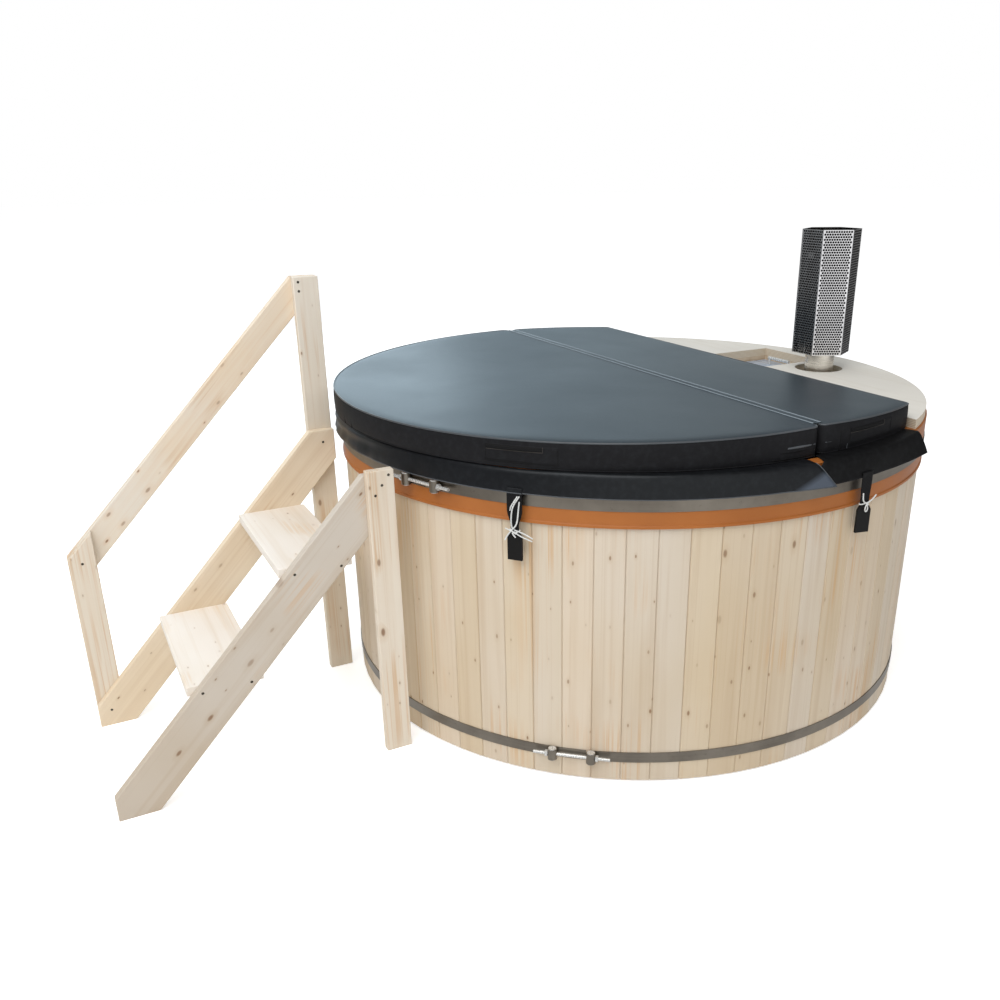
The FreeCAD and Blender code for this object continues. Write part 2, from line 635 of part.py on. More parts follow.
def bench():
    """Bench sections round the stairs' half of the tub, each of two slats between two supports."""
    def half(radius):
        return f"({radius} * tan(bench_section_angle / 2) - bench_joint / 2)"

    def slat_corners(outer, inner):
        side = [(inner, half(inner)), (outer, half(outer))]
        return [(radius, f"-{reach}") for radius, reach in side] + side[::-1]

    middle = f"({BENCH_EDGE} - bench_slat)"
    sweep = "bench_section_angle * (bench_sections - 1)"
    body, back_slat = padded("bench_ring", "XY_Plane", slat_corners(BENCH_EDGE, middle), "bench_thick")
    front_slat = body.newObject("PartDesign::Pad", "bench_front_slat")
    front_slat.Profile = outline(body, "bench_front_outline", "XY_Plane",
                                 slat_corners(f"({middle} - bench_gap)", BENCH_FRONT))
    bind(front_slat, "Length", "bench_thick")
    around(body, [back_slat, front_slat], "bench_sections", sweep)
    place(body, z="bench_height - bench_thick", turn=f"-90 - ({sweep}) / 2")
    node(body, "bench_slats")
    reach = [(BENCH_FRONT, "-bench_thick / 2"), (BENCH_EDGE, "-bench_thick / 2"),
             (BENCH_EDGE, "bench_thick / 2"), (BENCH_FRONT, "bench_thick / 2")]
    supports, pad = padded("support_ring", "XY_Plane", reach, f"bench_height - bench_thick - {LINER_FLOOR}")
    around(supports, [pad], "bench_sections + 1", "bench_section_angle * bench_sections")
    place(supports, z=LINER_FLOOR, turn="-90 - bench_section_angle * bench_sections / 2")
    node(supports, "bench_supports")


# Stove

def plates_round(name, left, front, base, width, depth, height):
    """Four upright plates round a rectangle, the front and back ones over the ends of the others."""
    between = f"({depth} - 2 * stove_wall)"
    return [
        box(f"{name}_front", left, front, base, width, "stove_wall", height),
        box(f"{name}_back", left, f"{front} + {depth} - stove_wall", base, width, "stove_wall", height),
        box(f"{name}_left", left, f"{front} + stove_wall", base, "stove_wall", between, height),
        box(f"{name}_right", f"{left} + {width} - stove_wall", f"{front} + stove_wall", base,
            "stove_wall", between, height),
    ]


def stove_firebox():
    """Firebox of welded plates on legs, with ledges that carry the grate."""
    plates = plates_round("firebox", STOVE_LEFT, STOVE_FRONT, f"({STOVE_BASE} + stove_wall)",
                          "stove_width", "stove_depth", "stove_height - 2 * stove_wall")
    plates.append(box("firebox_floor", STOVE_LEFT, STOVE_FRONT, STOVE_BASE,
                      "stove_width", "stove_depth", "stove_wall"))
    for index, (side, end) in enumerate(((0, 0), (0, 1), (1, 0), (1, 1))):
        plates.append(box(f"stove_leg_{index}", f"{STOVE_LEFT} + {side} * (stove_width - leg_size)",
                          f"{STOVE_FRONT} + {end} * (stove_depth - leg_size)", LINER_FLOOR,
                          "leg_size", "leg_size", "stove_leg"))
    ledge_places = (f"{STOVE_FRONT} + stove_wall", f"{STOVE_FRONT} + stove_depth - stove_wall - ledge_size")
    for index, ledge_place in enumerate(ledge_places):
        plates.append(box(f"grate_ledge_{index}", f"{STOVE_LEFT} + stove_wall", ledge_place,
                          f"{STOVE_BASE} + grate_height - ledge_size",
                          "stove_width - 2 * stove_wall", "ledge_size", "ledge_size"))
    node(group("stove_firebox", plates), "stove_firebox")


def stove_top():
    """Top plate with the throat's opening and the collar that the flue stands over."""
    base = f"({STOVE_TOP} - stove_wall)"
    plate = box("top_plate", STOVE_LEFT, STOVE_FRONT, base, "stove_width", "stove_depth", "stove_wall")
    opening = box("throat_opening", f"{THROAT_LEFT} + stove_wall", f"{THROAT_FRONT} + stove_wall", base,
                  f"{THROAT_WIDTH} - 2 * stove_wall", f"{THROAT_DEPTH} - 2 * stove_wall", "stove_wall")
    spigot = "(flue_radius - flue_wall - collar_slip)"
    collar = cylinder("collar_outside", "flue_across", FLUE_BACK, base, spigot, "stove_wall + collar_height")
    draught = cylinder("collar_inside", "flue_across", FLUE_BACK, base, f"{spigot} - collar_wall",
                       "stove_wall + collar_height")
    node(cut("stove_top", fuse("top_welded", plate, collar), opening, draught), "stove_top")


def stove_throat():
    """Loading throat of welded plates up to the hatch, with ears that hold the lid's hinge pin."""
    front, *others = plates_round("throat", THROAT_LEFT, THROAT_FRONT, STOVE_TOP, THROAT_WIDTH, THROAT_DEPTH,
                                  f"({THROAT_TOP} - {STOVE_TOP})")
    ears = [hinge_ear(f"hinge_ear_{index}", side) for index, side in enumerate((-1, 1))]
    eared = cut("eared_plate", fuse("eared_welded", front, *ears), hinge_bore("ear_bore", "hinge_pin"))
    node(group("stove_throat", [eared, *others]), "stove_throat")
    bar = cylinder("hinge_bar", f"hatch_center - {PIN_HALF}", HINGE_Y, HINGE_Z, "hinge_pin",
                   f"2 * {PIN_HALF}", "x")
    node(bar, "lid_hinge_pin")


def hinge_ear(name, side, margin="0"):
    """One of the two upright ears that carry the lid's hinge pin; a margin makes room round it."""
    middle = f"(hatch_center + {side} * ({PIN_HALF} - ear_thick / 2))"
    return box(name, f"{middle} - ear_thick / 2 - {margin}", f"{HINGE_Y} - knuckle_radius - {margin}",
               f"{HINGE_Z} - ear_height", f"ear_thick + 2 * {margin}", f"2 * (knuckle_radius + {margin})",
               "ear_height + knuckle_radius")


def hinge_bore(name, radius):
    return cylinder(name, f"hatch_center - {PIN_HALF} - ear_thick", HINGE_Y, HINGE_Z, radius,
                    f"2 * {PIN_HALF} + 2 * ear_thick", "x")


def stove_grate():
    width = "(stove_width - 2 * stove_wall - 2 * grate_gap)"
    left = f"({STOVE_LEFT} + stove_wall + grate_gap)"
    front = f"({STOVE_FRONT} + stove_wall + grate_gap)"
    depth = "(stove_depth - 2 * stove_wall - 2 * grate_gap)"
    base = f"({STOVE_BASE} + grate_height)"
    plate = box("grate_plate", left, front, base, width, depth, "grate_thick")
    pitch = f"(({width} - 2 * grate_margin - grate_slot) / (grate_slots - 1))"
    slots = [box(f"grate_slot_{index}", f"{left} + grate_margin + {index} * {pitch}",
                 f"{front} + grate_margin", base, "grate_slot", f"{depth} - 2 * grate_margin", "grate_thick")
             for index in range(int(value("grate_slots")))]
    node(cut("stove_grate", plate, *slots), "stove_grate")


def vents(name, base, height, turn):
    """Air holes on a circle about the damper's pivot."""
    holes = []
    for index in range(int(value("vent_count"))):
        angle = f"({turn} + {index} * 360 / vent_count)"
        holes.append(cylinder(f"{name}_{index}", f"hatch_center + vent_circle * cos{angle}",
                              f"{DAMPER_Y} + vent_circle * sin{angle}", base, "vent_radius", height))
    return holes


def stove_lid():
    """Lid plate with a hinge knuckle, air holes and the damper's pivot; handle and damper on top."""
    front = f"({HINGE_Y} - hinge_inset + throat_gap - lid_seat)"
    far = f"({HATCH_FRONT} + {HATCH_DEPTH} - lid_gap)"
    plate = box("lid_plate", f"{HATCH_LEFT} + lid_gap", front, LID_BASE, "hatch_width - 2 * lid_gap",
                f"{far} - {front}", "lid_thick")
    knuckle = cylinder("lid_knuckle", "hatch_center - knuckle_length / 2", HINGE_Y, HINGE_Z, "knuckle_radius",
                       "knuckle_length", "x")
    below = box("lid_underside", HATCH_LEFT, HATCH_FRONT, f"{LID_BASE} - knuckle_radius",
                "hatch_width", HATCH_DEPTH, "knuckle_radius")
    pivot = cylinder("damper_pivot", "hatch_center", DAMPER_Y, LID_BASE, "hinge_pin",
                     "lid_thick + damper_thick + knob_height")
    room = [hinge_ear(f"lid_notch_{index}", side, "ear_gap") for index, side in enumerate((-1, 1))]
    bore = hinge_bore("knuckle_bore", "hinge_pin + hinge_run")
    lid = cut("lid_cut", fuse("lid_welded", plate, knuckle), below, bore, *room,
              *vents("lid_vent", LID_BASE, "lid_thick", 0))
    node(fuse("stove_lid", lid, pivot), "stove_lid")
    bar_y = f"({far} - handle_inset)"
    bar_z = f"({LID_TOP} + handle_rise)"
    bar = cylinder("handle_bar_round", "hatch_center - handle_length / 2", bar_y, bar_z,
                   "handle_bar", "handle_length", "x")
    legs = [cylinder(f"handle_leg_{index}", f"hatch_center + {side} * (handle_length / 2 - handle_bar)",
                     bar_y, LID_TOP, "handle_leg", "handle_rise") for index, side in enumerate((-1, 1))]
    node(fuse("lid_handle", bar, *legs), "lid_handle")
    disc_base = f"({LID_TOP} + fit)"
    disc = cylinder("damper_disc", "hatch_center", DAMPER_Y, disc_base, "damper_radius", "damper_thick")
    knob = cylinder("damper_knob", "hatch_center + damper_radius - knob_radius", DAMPER_Y, disc_base,
                    "knob_radius", "damper_thick + knob_height")
    spin = cylinder("damper_bore", "hatch_center", DAMPER_Y, disc_base, "hinge_pin + hinge_run",
                    "damper_thick")
    node(cut("air_damper", fuse("damper_welded", disc, knob), spin,
             *vents("damper_vent", disc_base, "damper_thick", "180 / vent_count")), "air_damper")


# Flue and heat guard

def flue():
    """Flue pipe with a widened socket at its top, the six-sided guard round it and the clips between them."""
    def bar(name, base, radius, top):
        return cylinder(name, "flue_across", FLUE_BACK, base, radius, f"{top} - {base}")

    skin = bar("flue_skin", STOVE_TOP, "flue_radius", FLUE_TOP)
    mouth = bar("flue_mouth", SOCKET_BASE, "flue_radius + socket_slip + flue_wall", FLUE_TOP)
    draught = bar("flue_draught", STOVE_TOP, "flue_radius - flue_wall", FLUE_TOP)
    socket = bar("flue_socket", f"({SOCKET_BASE} + flue_wall)", "flue_radius + socket_slip", FLUE_TOP)
    node(cut("flue_pipe", fuse("flue_rolled", skin, mouth), draught, socket), "flue_pipe")
    sheet = prism("guard_outside", "flue_across", FLUE_BACK, GUARD_BASE, "guard_flats", "guard_height")
    hollow = prism("guard_inside", "flue_across", FLUE_BACK, GUARD_BASE, "guard_flats - 2 * guard_sheet",
                   "guard_height")
    node(cut("heat_guard", sheet, hollow), "heat_guard")
    levels = [(f"{GUARD_BASE} + clip_inset", "0"),
              (f"{SOCKET_BASE} - clip_inset - clip_leg", "clip_leg - clip_thick")]
    clips = [guard_clip(f"guard_clip_{level}_{index}", height, web, f"-90 + {index} * 120")
             for level, (height, web) in enumerate(levels) for index in range(3)]
    node(group("guard_clips", clips), "guard_clips")


def guard_clip(name, height, web, angle):
    """A bent clip: a leg on the flue, a web and a leg on the guard."""
    inner = "(flue_radius + fit)"
    outer = "(guard_flats / 2 - guard_sheet - fit)"
    legs = [box(f"{name}_{part}", across, "-clip_width / 2", "0", "clip_thick", "clip_width", "clip_leg")
            for part, across in (("flue_leg", inner), ("guard_leg", f"{outer} - clip_thick"))]
    bridge = box(f"{name}_web", inner, "-clip_width / 2", web,
                 f"{outer} - {inner}", "clip_width", "clip_thick")
    return place(fuse(name, bridge, *legs), "flue_across", FLUE_BACK, height, angle)


# Cover

def cover_panel(name, round_edge, front, back, ridge, low_edge):
    """A foam panel between two lines across the tub; its bevelled top falls from a ridge to a low edge."""
    middle, radius = round_edge
    rim = cylinder(f"{name}_rim", "0", middle, COVER_BASE, radius, "cover_ridge")
    edge_top = f"({COVER_BASE} + cover_edge)"
    bevel = cone(f"{name}_bevel", COVER_BASE, f"{radius} - cover_bevel + cover_edge",
                 f"{radius} - cover_bevel + cover_edge - cover_ridge", "cover_ridge")
    place(bevel, "0", middle, COVER_BASE)
    across = f"(2 * {radius})"
    slab = box(f"{name}_slab", f"-{radius}", front, COVER_BASE,
               across, f"{back} - {front}", "cover_ridge")
    fall = [(ridge, COVER_TOP), (low_edge, edge_top), (low_edge, COVER_TOP)]
    wedge, pad = padded(f"{name}_fall", "YZ_Plane", fall, across)
    pad.Midplane = True
    return cut(f"{name}_panel", common(f"{name}_round", rim, bevel, slab), wedge)


def hem_points():
    """Angle round the tub, and reach past the hem's circle, of each point of the skirts' hem."""
    def bearing(text):
        return math.degrees(math.asin(value(f"({text}) / {SKIRT_HEM}")))

    front_end = bearing("fold_place - skirt_split")
    rear_start = bearing("fold_place")
    rear_end = bearing(COVER_BACK)
    flare = value("corner_flare")
    span = value("flare_angle")
    free_side = [
        (front_end - span, 0), (front_end, flare), (rear_start, 0), (rear_end - span, 0), (rear_end, flare),
    ]
    other_side = [(180 - angle, reach) for angle, reach in free_side[::-1]]
    creases = int(value("crease_count"))
    hollows = []
    for index in range(-creases, creases + 1):
        reach = value("-crease_depth") if (index + creases) % 2 else 0
        hollows.append((360 + value("crease_angle") + index * value("crease_step_angle"), reach))
    return free_side + [(90, 0)] + other_side + hollows


def skirt_form(name, low, low_radius, high, high_radius):
    """A solid whose sides run straight from the creased hem below to a plain circle above."""
    points = hem_points()
    turns = points[1:] + [(points[0][0] + 360, points[0][1])]
    rings = []
    for level, radius, share in ((value(low), value(low_radius), 1), (value(high), value(high_radius), 0)):
        arcs = []
        for (start, first), (end, last) in zip(points, turns):
            bends = ((start, first), ((start + end) / 2, (first + last) / 2), (end, last))
            spots = [Vector(radius + share * reach, 0, level) for _, reach in bends]
            spots = [Rotation(Vector(0, 0, 1), angle).multVec(spot) for (angle, _), spot in zip(bends, spots)]
            arcs.append(Part.Arc(*spots).toShape())
        rings.append(Part.Wire(arcs))
    item = doc.addObject("Part::Feature", name)
    item.Shape = Part.makeLoft(rings, True, True)
    return item


def skirt(name, round_edge, front, back):
    """The flap that lies on the rim beside a panel and hangs outside it, between two lines across the tub."""
    outside = skirt_form(f"{name}_outside", HEM, SKIRT_HEM, f"{COVER_BASE} + skirt_thick", SKIRT_TOP)
    inside = skirt_form(f"{name}_inside", HEM, f"{SKIRT_HEM} - skirt_thick",
                        COVER_BASE, f"{SKIRT_TOP} - skirt_thick")
    middle, radius = round_edge
    footprint = cylinder(f"{name}_footprint", "0", middle, COVER_BASE, f"{radius} + fit", "2 * skirt_thick")
    shell = cut(f"{name}_shell", outside, inside, footprint)
    reach = f"({SKIRT_HEM} + corner_flare)"
    slab = box(f"{name}_band", f"-{reach}", front, HEM, f"2 * {reach}", f"{back} - {front}",
               "skirt_drop + 2 * skirt_thick")
    return common(f"{name}_flap", shell, slab)


def sewn_grip(name, round_edge, angle):
    """A webbing handle sewn flat on a panel's side."""
    middle, radius = round_edge
    seat = f"({radius} + fit)"
    strip = tube(name, "0", "0", "0", f"{seat} + grip_thick", seat, "grip_height")
    for ring in (strip.Base, strip.Tool):
        bind(ring, "Angle", "grip_sweep_angle")
    return place(strip, "0", middle, f"{COVER_BASE} + grip_low", f"{angle} - grip_sweep_angle / 2")


def cover():
    fold_front = f"(fold_place - {PANEL_GAP})"
    fold_back = f"(fold_place + {PANEL_GAP})"
    foremost = f"(-cover_shift - {COVER_RADIUS})"
    front_panel = cover_panel("cover_front", FRONT_ROUND, foremost, fold_front, fold_front, foremost)
    node(front_panel, "cover_front_panel")
    rear_panel = cover_panel("cover_rear", REAR_ROUND, fold_back, COVER_BACK, fold_back, COVER_BACK)
    node(rear_panel, "cover_rear_panel")
    half = f"sqrt(({COVER_RADIUS} - cover_bevel) ^ 2 - (fold_place + cover_shift) ^ 2)"
    welt = cylinder("cover_welt", f"-{half}", "fold_place", COVER_TOP, "welt_radius", f"2 * {half}", "x")
    node(welt, "cover_welt")
    corner = "(fold_place - skirt_split)"
    front_flap = skirt("cover_front", FRONT_ROUND, f"-{SKIRT_HEM}", corner)
    top = f"({COVER_BASE} + 2 * skirt_thick)"
    slant, pad = padded("cover_front_slant", "YZ_Plane",
                        [(corner, HEM), (corner, top), (f"({corner} - split_slant)", top)],
                        f"2 * ({SKIRT_HEM} + corner_flare)")
    pad.Midplane = True
    front_skirt = cut("cover_front_slanted_flap", front_flap, slant)
    node(front_skirt, "cover_front_skirt")
    rear_skirt = skirt("cover_rear", REAR_ROUND, "fold_place", COVER_BACK)
    node(rear_skirt, "cover_rear_skirt")
    for part, round_edge in (("front", FRONT_ROUND), ("rear", REAR_ROUND)):
        grips = [sewn_grip(f"{part}_grip_right", round_edge, f"{part}_grip_angle"),
                 sewn_grip(f"{part}_grip_left", round_edge, f"(180 - {part}_grip_angle)")]
        node(group(f"cover_{part}_grips", grips), f"cover_{part}_grips")
        twist = "rear_tab_twist_angle" if part == "rear" else "0"
        for side, angle, turn in (("right", f"{part}_strap_angle", f"-{twist}"),
                                  ("left", f"(180 - {part}_strap_angle)", twist)):
            strap(f"{part}_{side}", angle, f"{part}_strap_length", f"{part}_strap_neck", turn)


def strap(name, angle, length, drawn, twist):
    """A lock strap sewn on the skirt above its hem and drawn in above its end tab, which may hang turned."""
    neck = f"({HEM} - {length})"

    def mirrored(side):
        return side + [(f"-{across}", height) for across, height in side[::-1]]

    edge = [("strap_width / 2", f"({HEM} + strap_lap)"), ("strap_width / 2", f"({neck} + drawn_length)"),
            (f"{drawn} / 2", f"({neck} + drawn_length / 4)"), (f"{drawn} / 2", neck)]
    shoulder = [("tab_neck / 2", neck), ("tab_width / 2", f"({neck} - tab_shoulder)"),
                ("tab_width / 2", f"({neck} - tab_height)")]
    for part, side, thick, turn in (("strap", edge, "strap_thick", "0"), ("tab", shoulder, "tab_thick", twist)):
        body, pad = padded(f"{name}_{part}_cut", "YZ_Plane", mirrored(side), thick)
        pad.Midplane = True
        place(body, x=STRAP_MIDDLE, turn=turn)
        node(place(group(f"{part}_{name}", [body]), turn=angle), f"{part}_{name}")


# String ties: out from the strap's face, along it, and up from the tab's neck.
FRONT_TIE = [
    (2.7, 16, 102), (2.7, 6, 87), (2.7, -3, 72), (2.7, -7, 56), (2.7, -8.5, 39), (2.7, -9, 23), (3.1, -6.5, 10),
    (3.9, 4, 4), (4.9, 17, 2), (5.9, 31, -2), (6.1, 44, -7), (5.7, 55, -13),
]
FRONT_TAIL = [
    (2.7, 16, 87), (2.7, 13.5, 68), (2.7, 11.5, 49), (2.9, 9.5, 32), (4.6, 5.5, 18), (8.4, -3, 8.5),
    (9.2, -11, -1), (8.8, -19, -12), (7.8, -26, -25),
]
REAR_TIE = [
    (2.7, -15, 36), (2.7, -14.5, 23), (3.1, -11, 11), (3.9, -2, 4.5), (4.9, 9, 5), (5.7, 20, 9), (6.1, 31, 15),
    (5.7, 41, 22),
]
ARC_SHARE = 0.45


def rounded_path(points):
    """Straight runs with the largest tangent arc that each corner has room for."""
    edges = []
    radii = []
    start = points[0]
    for before, corner, after in zip(points, points[1:], points[2:]):
        back = before - corner
        ahead = after - corner
        reach = ARC_SHARE * min(back.Length, ahead.Length)
        turn = math.pi - back.getAngle(ahead)
        back.normalize()
        ahead.normalize()
        first = corner + back * reach
        last = corner + ahead * reach
        radius = reach / math.tan(turn / 2)
        bisector = (back + ahead).normalize()
        middle = corner + bisector * (radius / math.cos(turn / 2) - radius)
        edges.append(Part.LineSegment(start, first).toShape())
        edges.append(Part.Arc(first, middle, last).toShape())
        radii.append(radius)
        start = last
    edges.append(Part.LineSegment(start, points[-1]).toShape())
    return Part.Wire(edges), radii


def string_tie(name, route, angle, length):
    """A string tied round a strap above its tab, with a loose end."""
    neck = value(f"{HEM} - {length}")
    face = value(STRAP_FACE)
    path, radii = rounded_path([Vector(face + out, along, neck + up) for out, along, up in route])
    heading = path.Edges[0].tangentAt(path.Edges[0].FirstParameter)
    ring = Part.Wire(Part.Circle(path.Edges[0].Vertexes[0].Point, heading, value("tie_radius")).toShape())
    tie = doc.addObject("Part::Feature", name)
    tie.Shape = path.makePipeShell([ring], True, False)
    expected = math.pi * value("tie_radius") ** 2 * path.Length
    print(name, "length", round(path.Length, 1), "radii", [round(radius, 1) for radius in radii],
          "volume share", round(tie.Shape.Volume / expected, 4))
    bind(tie, "Placement.Rotation.Angle", angle)
    node(tie, name)


# Stairs

def along(text):
    """A distance from the stringer's foot, as a place along the tub's Y axis."""
    return f"({text} - {STAIR_FOOT})"


def board(name, corners, thick, outer_face, screws):
    """An upright board padded from its side outline, with a recess for each screw in its +X face."""
    body, pad = padded(f"{name}_board", "YZ_Plane", [(along(run), height) for run, height in corners], thick)
    place(body, x=f"{outer_face} - {thick}")
    recesses = []
    for index, (run, height) in enumerate(screws):
        recesses.append(cylinder(f"{name}_recess_{index}", f"{outer_face} - screw_sink", along(run), height,
                                 "screw_radius + fit", "screw_sink", "x"))
        screw_heads.append(cylinder(f"{name}_screw_{index}", f"{outer_face} - screw_sink", along(run), height,
                                    "screw_radius", "screw_head", "x"))
    node(cut(name, body, *recesses), name)


def stairs():
    foot = "((stringer_width - stringer_nose * cos(stair_pitch)) / sin(stair_pitch))"
    stringer = [
        ("0", "0"),
        (foot, "0"),
        ("stair_run", f"((stair_run - {foot}) * {SLOPE})"),
        ("stair_run", "stringer_top"),
        (f"((stringer_top - stringer_nose) / {SLOPE})", "stringer_top"),
        ("0", "stringer_nose"),
    ]
    tread_screws = []
    for name in ("lower", "upper"):
        height = f"({name}_tread_height - tread_thick / 2)"
        tread_screws.append((f"({name}_tread_place + screw_inset)", height))
        tread_screws.append((f"({name}_tread_place + tread_depth - screw_inset)", height))
    board("near_stringer", stringer, "stringer_thick", "stair_side", tread_screws)
    post_screws = [(f"({POST_PLACE} + post_width / 2)", "(stringer_top - screw_inset)"),
                   ("(post_width / 2)", "(stringer_nose - screw_edge)")]
    board("far_stringer", stringer, "stringer_thick", FAR_INNER, post_screws)
    for name in ("lower", "upper"):
        tread = box(f"{name}_tread", FAR_INNER, along(f"{name}_tread_place"),
                    f"{name}_tread_height - tread_thick", "tread_length", "tread_depth", "tread_thick")
        node(tread, f"{name}_tread")

    def post(base, front_top, rear_top, start):
        rear = f"({start} + post_width)"
        return [(start, base), (rear, base), (rear, rear_top), (start, front_top)]

    near_screws = [(f"(stair_run - screw_edge - {step} * screw_step * 3 / 4)",
                    f"(near_post_height - screw_edge - {step} * screw_step)") for step in range(3)]
    board("near_post", post("0", "near_post_height", "near_post_height", POST_PLACE), "post_thick",
          "(stair_side + post_thick)", near_screws)
    rail_screws = [(f"({POST_PLACE} + screw_edge)", f"(rail_post_height - screw_edge - {step} * screw_step)")
                   for step in range(2)]
    board("rail_post", post("0", "rail_post_height", "rail_post_height", POST_PLACE), "post_thick",
          FAR_OUTER, rail_screws)
    low_rear = f"(low_post_height + post_width * {RAIL_SLOPE})"
    board("low_post", post("low_post_base", "low_post_height", low_rear, "0"), "post_thick", FAR_OUTER,
          [("(post_width / 2)", "(low_post_height - screw_edge)")])
    rail_end = f"(rail_post_height - {RAIL_DROP} + post_width * {RAIL_SLOPE})"
    rail = [
        ("0", f"(low_post_height - {RAIL_DROP})"),
        ("stair_run", rail_end),
        ("stair_run", "rail_post_height"),
        (POST_PLACE, "rail_post_height"),
        ("0", "low_post_height"),
    ]
    body, pad = padded("rail_board", "YZ_Plane", [(along(run), height) for run, height in rail], "post_thick")
    node(place(body, x=f"{FAR_OUTER} - 2 * post_thick"), "handrail")
    node(group("stair_screws", screw_heads), "stair_screws")


# Drain

def drain():
    """Floor strainer, pipe under the floor, ball valve outside the wall and its lever."""
    flange = cylinder("strainer_flange", DRAIN_ACROSS, DRAIN_BACK, LINER_FLOOR, "strainer_radius",
                      "strainer_thick")
    stub_base = f"(drain_height + {DRAIN_PIPE} + fit)"
    stub = cylinder("strainer_stub", DRAIN_ACROSS, DRAIN_BACK, stub_base, DRAIN_PIPE,
                    f"{LINER_FLOOR} - {stub_base}")
    well = cylinder("strainer_well", DRAIN_ACROSS, DRAIN_BACK, "drain_height", "drain_bore",
                    f"{LINER_FLOOR} - drain_height")
    holes = []
    for index in range(int(value("strainer_holes"))):
        angle = f"({index} * 360 / strainer_holes)"
        holes.append(cylinder(f"strainer_hole_{index}", f"{DRAIN_ACROSS} + strainer_circle * cos{angle}",
                              f"{DRAIN_BACK} + strainer_circle * sin{angle}", LINER_FLOOR, "strainer_hole",
                              "strainer_thick"))
    node(cut("drain_strainer", fuse("strainer_welded", flange, stub), well, *holes), "drain_strainer")
    length = f"({VALVE_START} + {DRAIN_ACROSS} + {DRAIN_PIPE})"
    run = cylinder("pipe_outside", f"-{VALVE_START}", DRAIN_BACK, "drain_height", DRAIN_PIPE, length, "x")
    water = cylinder("pipe_inside", f"-{VALVE_START}", DRAIN_BACK, "drain_height", "drain_bore",
                     f"{length} - drain_wall", "x")
    inlet = cylinder("pipe_inlet", DRAIN_ACROSS, DRAIN_BACK, "drain_height", "drain_bore",
                     "2 * drain_height")
    node(cut("drain_pipe", run, water, inlet), "drain_pipe")
    start = f"(-{VALVE_START} - valve_length)"
    shell = cylinder("valve_shell", start, DRAIN_BACK, "drain_height", "valve_radius", "valve_length", "x")
    spigot = cylinder("valve_spigot", f"{start} - outlet_length", DRAIN_BACK, "drain_height", DRAIN_PIPE,
                      "outlet_length", "x")
    stem = cylinder("valve_stem", f"-{VALVE_MIDDLE}", DRAIN_BACK, "drain_height", "stem_radius",
                    "valve_radius + stem_height")
    bore = cylinder("valve_bore", f"{start} - outlet_length", DRAIN_BACK, "drain_height", "drain_bore",
                    "valve_length + outlet_length", "x")
    node(cut("drain_valve", fuse("valve_cast", shell, spigot, stem), bore), "drain_valve")
    top = "(drain_height + valve_radius + stem_height - lever_thick)"
    arm = box("lever_arm", f"-{VALVE_MIDDLE} - lever_length", f"{DRAIN_BACK} - lever_width / 2", top,
              "lever_length", "lever_width", "lever_thick")
    hub = cylinder("lever_hub", f"-{VALVE_MIDDLE}", DRAIN_BACK, top, "lever_width / 2", "lever_thick")
    turn = cylinder("lever_bore", f"-{VALVE_MIDDLE}", DRAIN_BACK, top, "stem_radius + stem_run",
                    "lever_thick")
    node(cut("drain_lever", fuse("lever_cast", arm, hub), turn), "drain_lever")


# Build, check and write

wall_staves()
floor_pieces()
liner_shell()
hoops()
stove_deck()
hatch_boards()
fence()
bench()
stove_firebox()
stove_top()
stove_throat()
stove_grate()
stove_lid()
flue()
cover()
string_tie("tie_front", FRONT_TIE, "front_strap_angle", "front_strap_length")
string_tie("tie_front_tail", FRONT_TAIL, "front_strap_angle", "front_strap_length")
string_tie("tie_rear", REAR_TIE, "rear_strap_angle", "rear_strap_length")
stairs()
drain()
doc.recompute()

faults = [item.Name for item in doc.Objects if {"Invalid", "Error"} & set(item.State)]
for item in nodes:
    if item.Shape.isNull() or not item.Shape.isValid() or not item.Shape.Solids:
        faults.append(item.Label)
if faults:
    raise RuntimeError(f"failed objects: {faults}")

os.makedirs("parts", exist_ok=True)
for item in nodes:
    item.Shape.exportStep(f"parts/{item.Label}.step")
print(len(nodes), "sub-parts,", sum(len(item.Shape.Solids) for item in nodes), "solids")
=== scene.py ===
"""Looks of the wood-fired hot tub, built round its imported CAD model. Metres, in the part's frame."""

import math

import bmesh
import bpy
from mathutils import Matrix, Vector, noise

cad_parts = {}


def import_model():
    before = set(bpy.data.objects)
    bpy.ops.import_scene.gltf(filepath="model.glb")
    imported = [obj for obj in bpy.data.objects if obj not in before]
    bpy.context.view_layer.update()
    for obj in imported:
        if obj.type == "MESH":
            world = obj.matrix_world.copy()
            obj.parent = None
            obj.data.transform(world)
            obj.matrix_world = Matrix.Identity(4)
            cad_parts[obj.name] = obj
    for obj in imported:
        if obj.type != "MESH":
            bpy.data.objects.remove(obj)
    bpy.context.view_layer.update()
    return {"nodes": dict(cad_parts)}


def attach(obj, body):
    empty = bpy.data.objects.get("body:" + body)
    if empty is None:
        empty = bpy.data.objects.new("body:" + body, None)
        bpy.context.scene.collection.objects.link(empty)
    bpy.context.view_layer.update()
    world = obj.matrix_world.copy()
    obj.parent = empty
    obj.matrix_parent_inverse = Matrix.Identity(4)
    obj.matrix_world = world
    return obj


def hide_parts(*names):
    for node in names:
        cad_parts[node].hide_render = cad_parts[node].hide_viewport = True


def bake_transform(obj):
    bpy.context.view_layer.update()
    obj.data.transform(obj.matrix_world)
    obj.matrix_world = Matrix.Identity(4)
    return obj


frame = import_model()
nodes = frame["nodes"]
scene = bpy.context.scene

# ---------------------------------------------------------------- sizes

CAMERA_PLACE = Vector((2.8276, -1.8472, 1.6937))
CAMERA_YAW = -1.0866
CAMERA_PITCH = 0.3796
CAMERA_ROLL = -0.009
CAMERA_LENS = 34.18
CAMERA_SHIFT = (-0.0386, 0.0476)

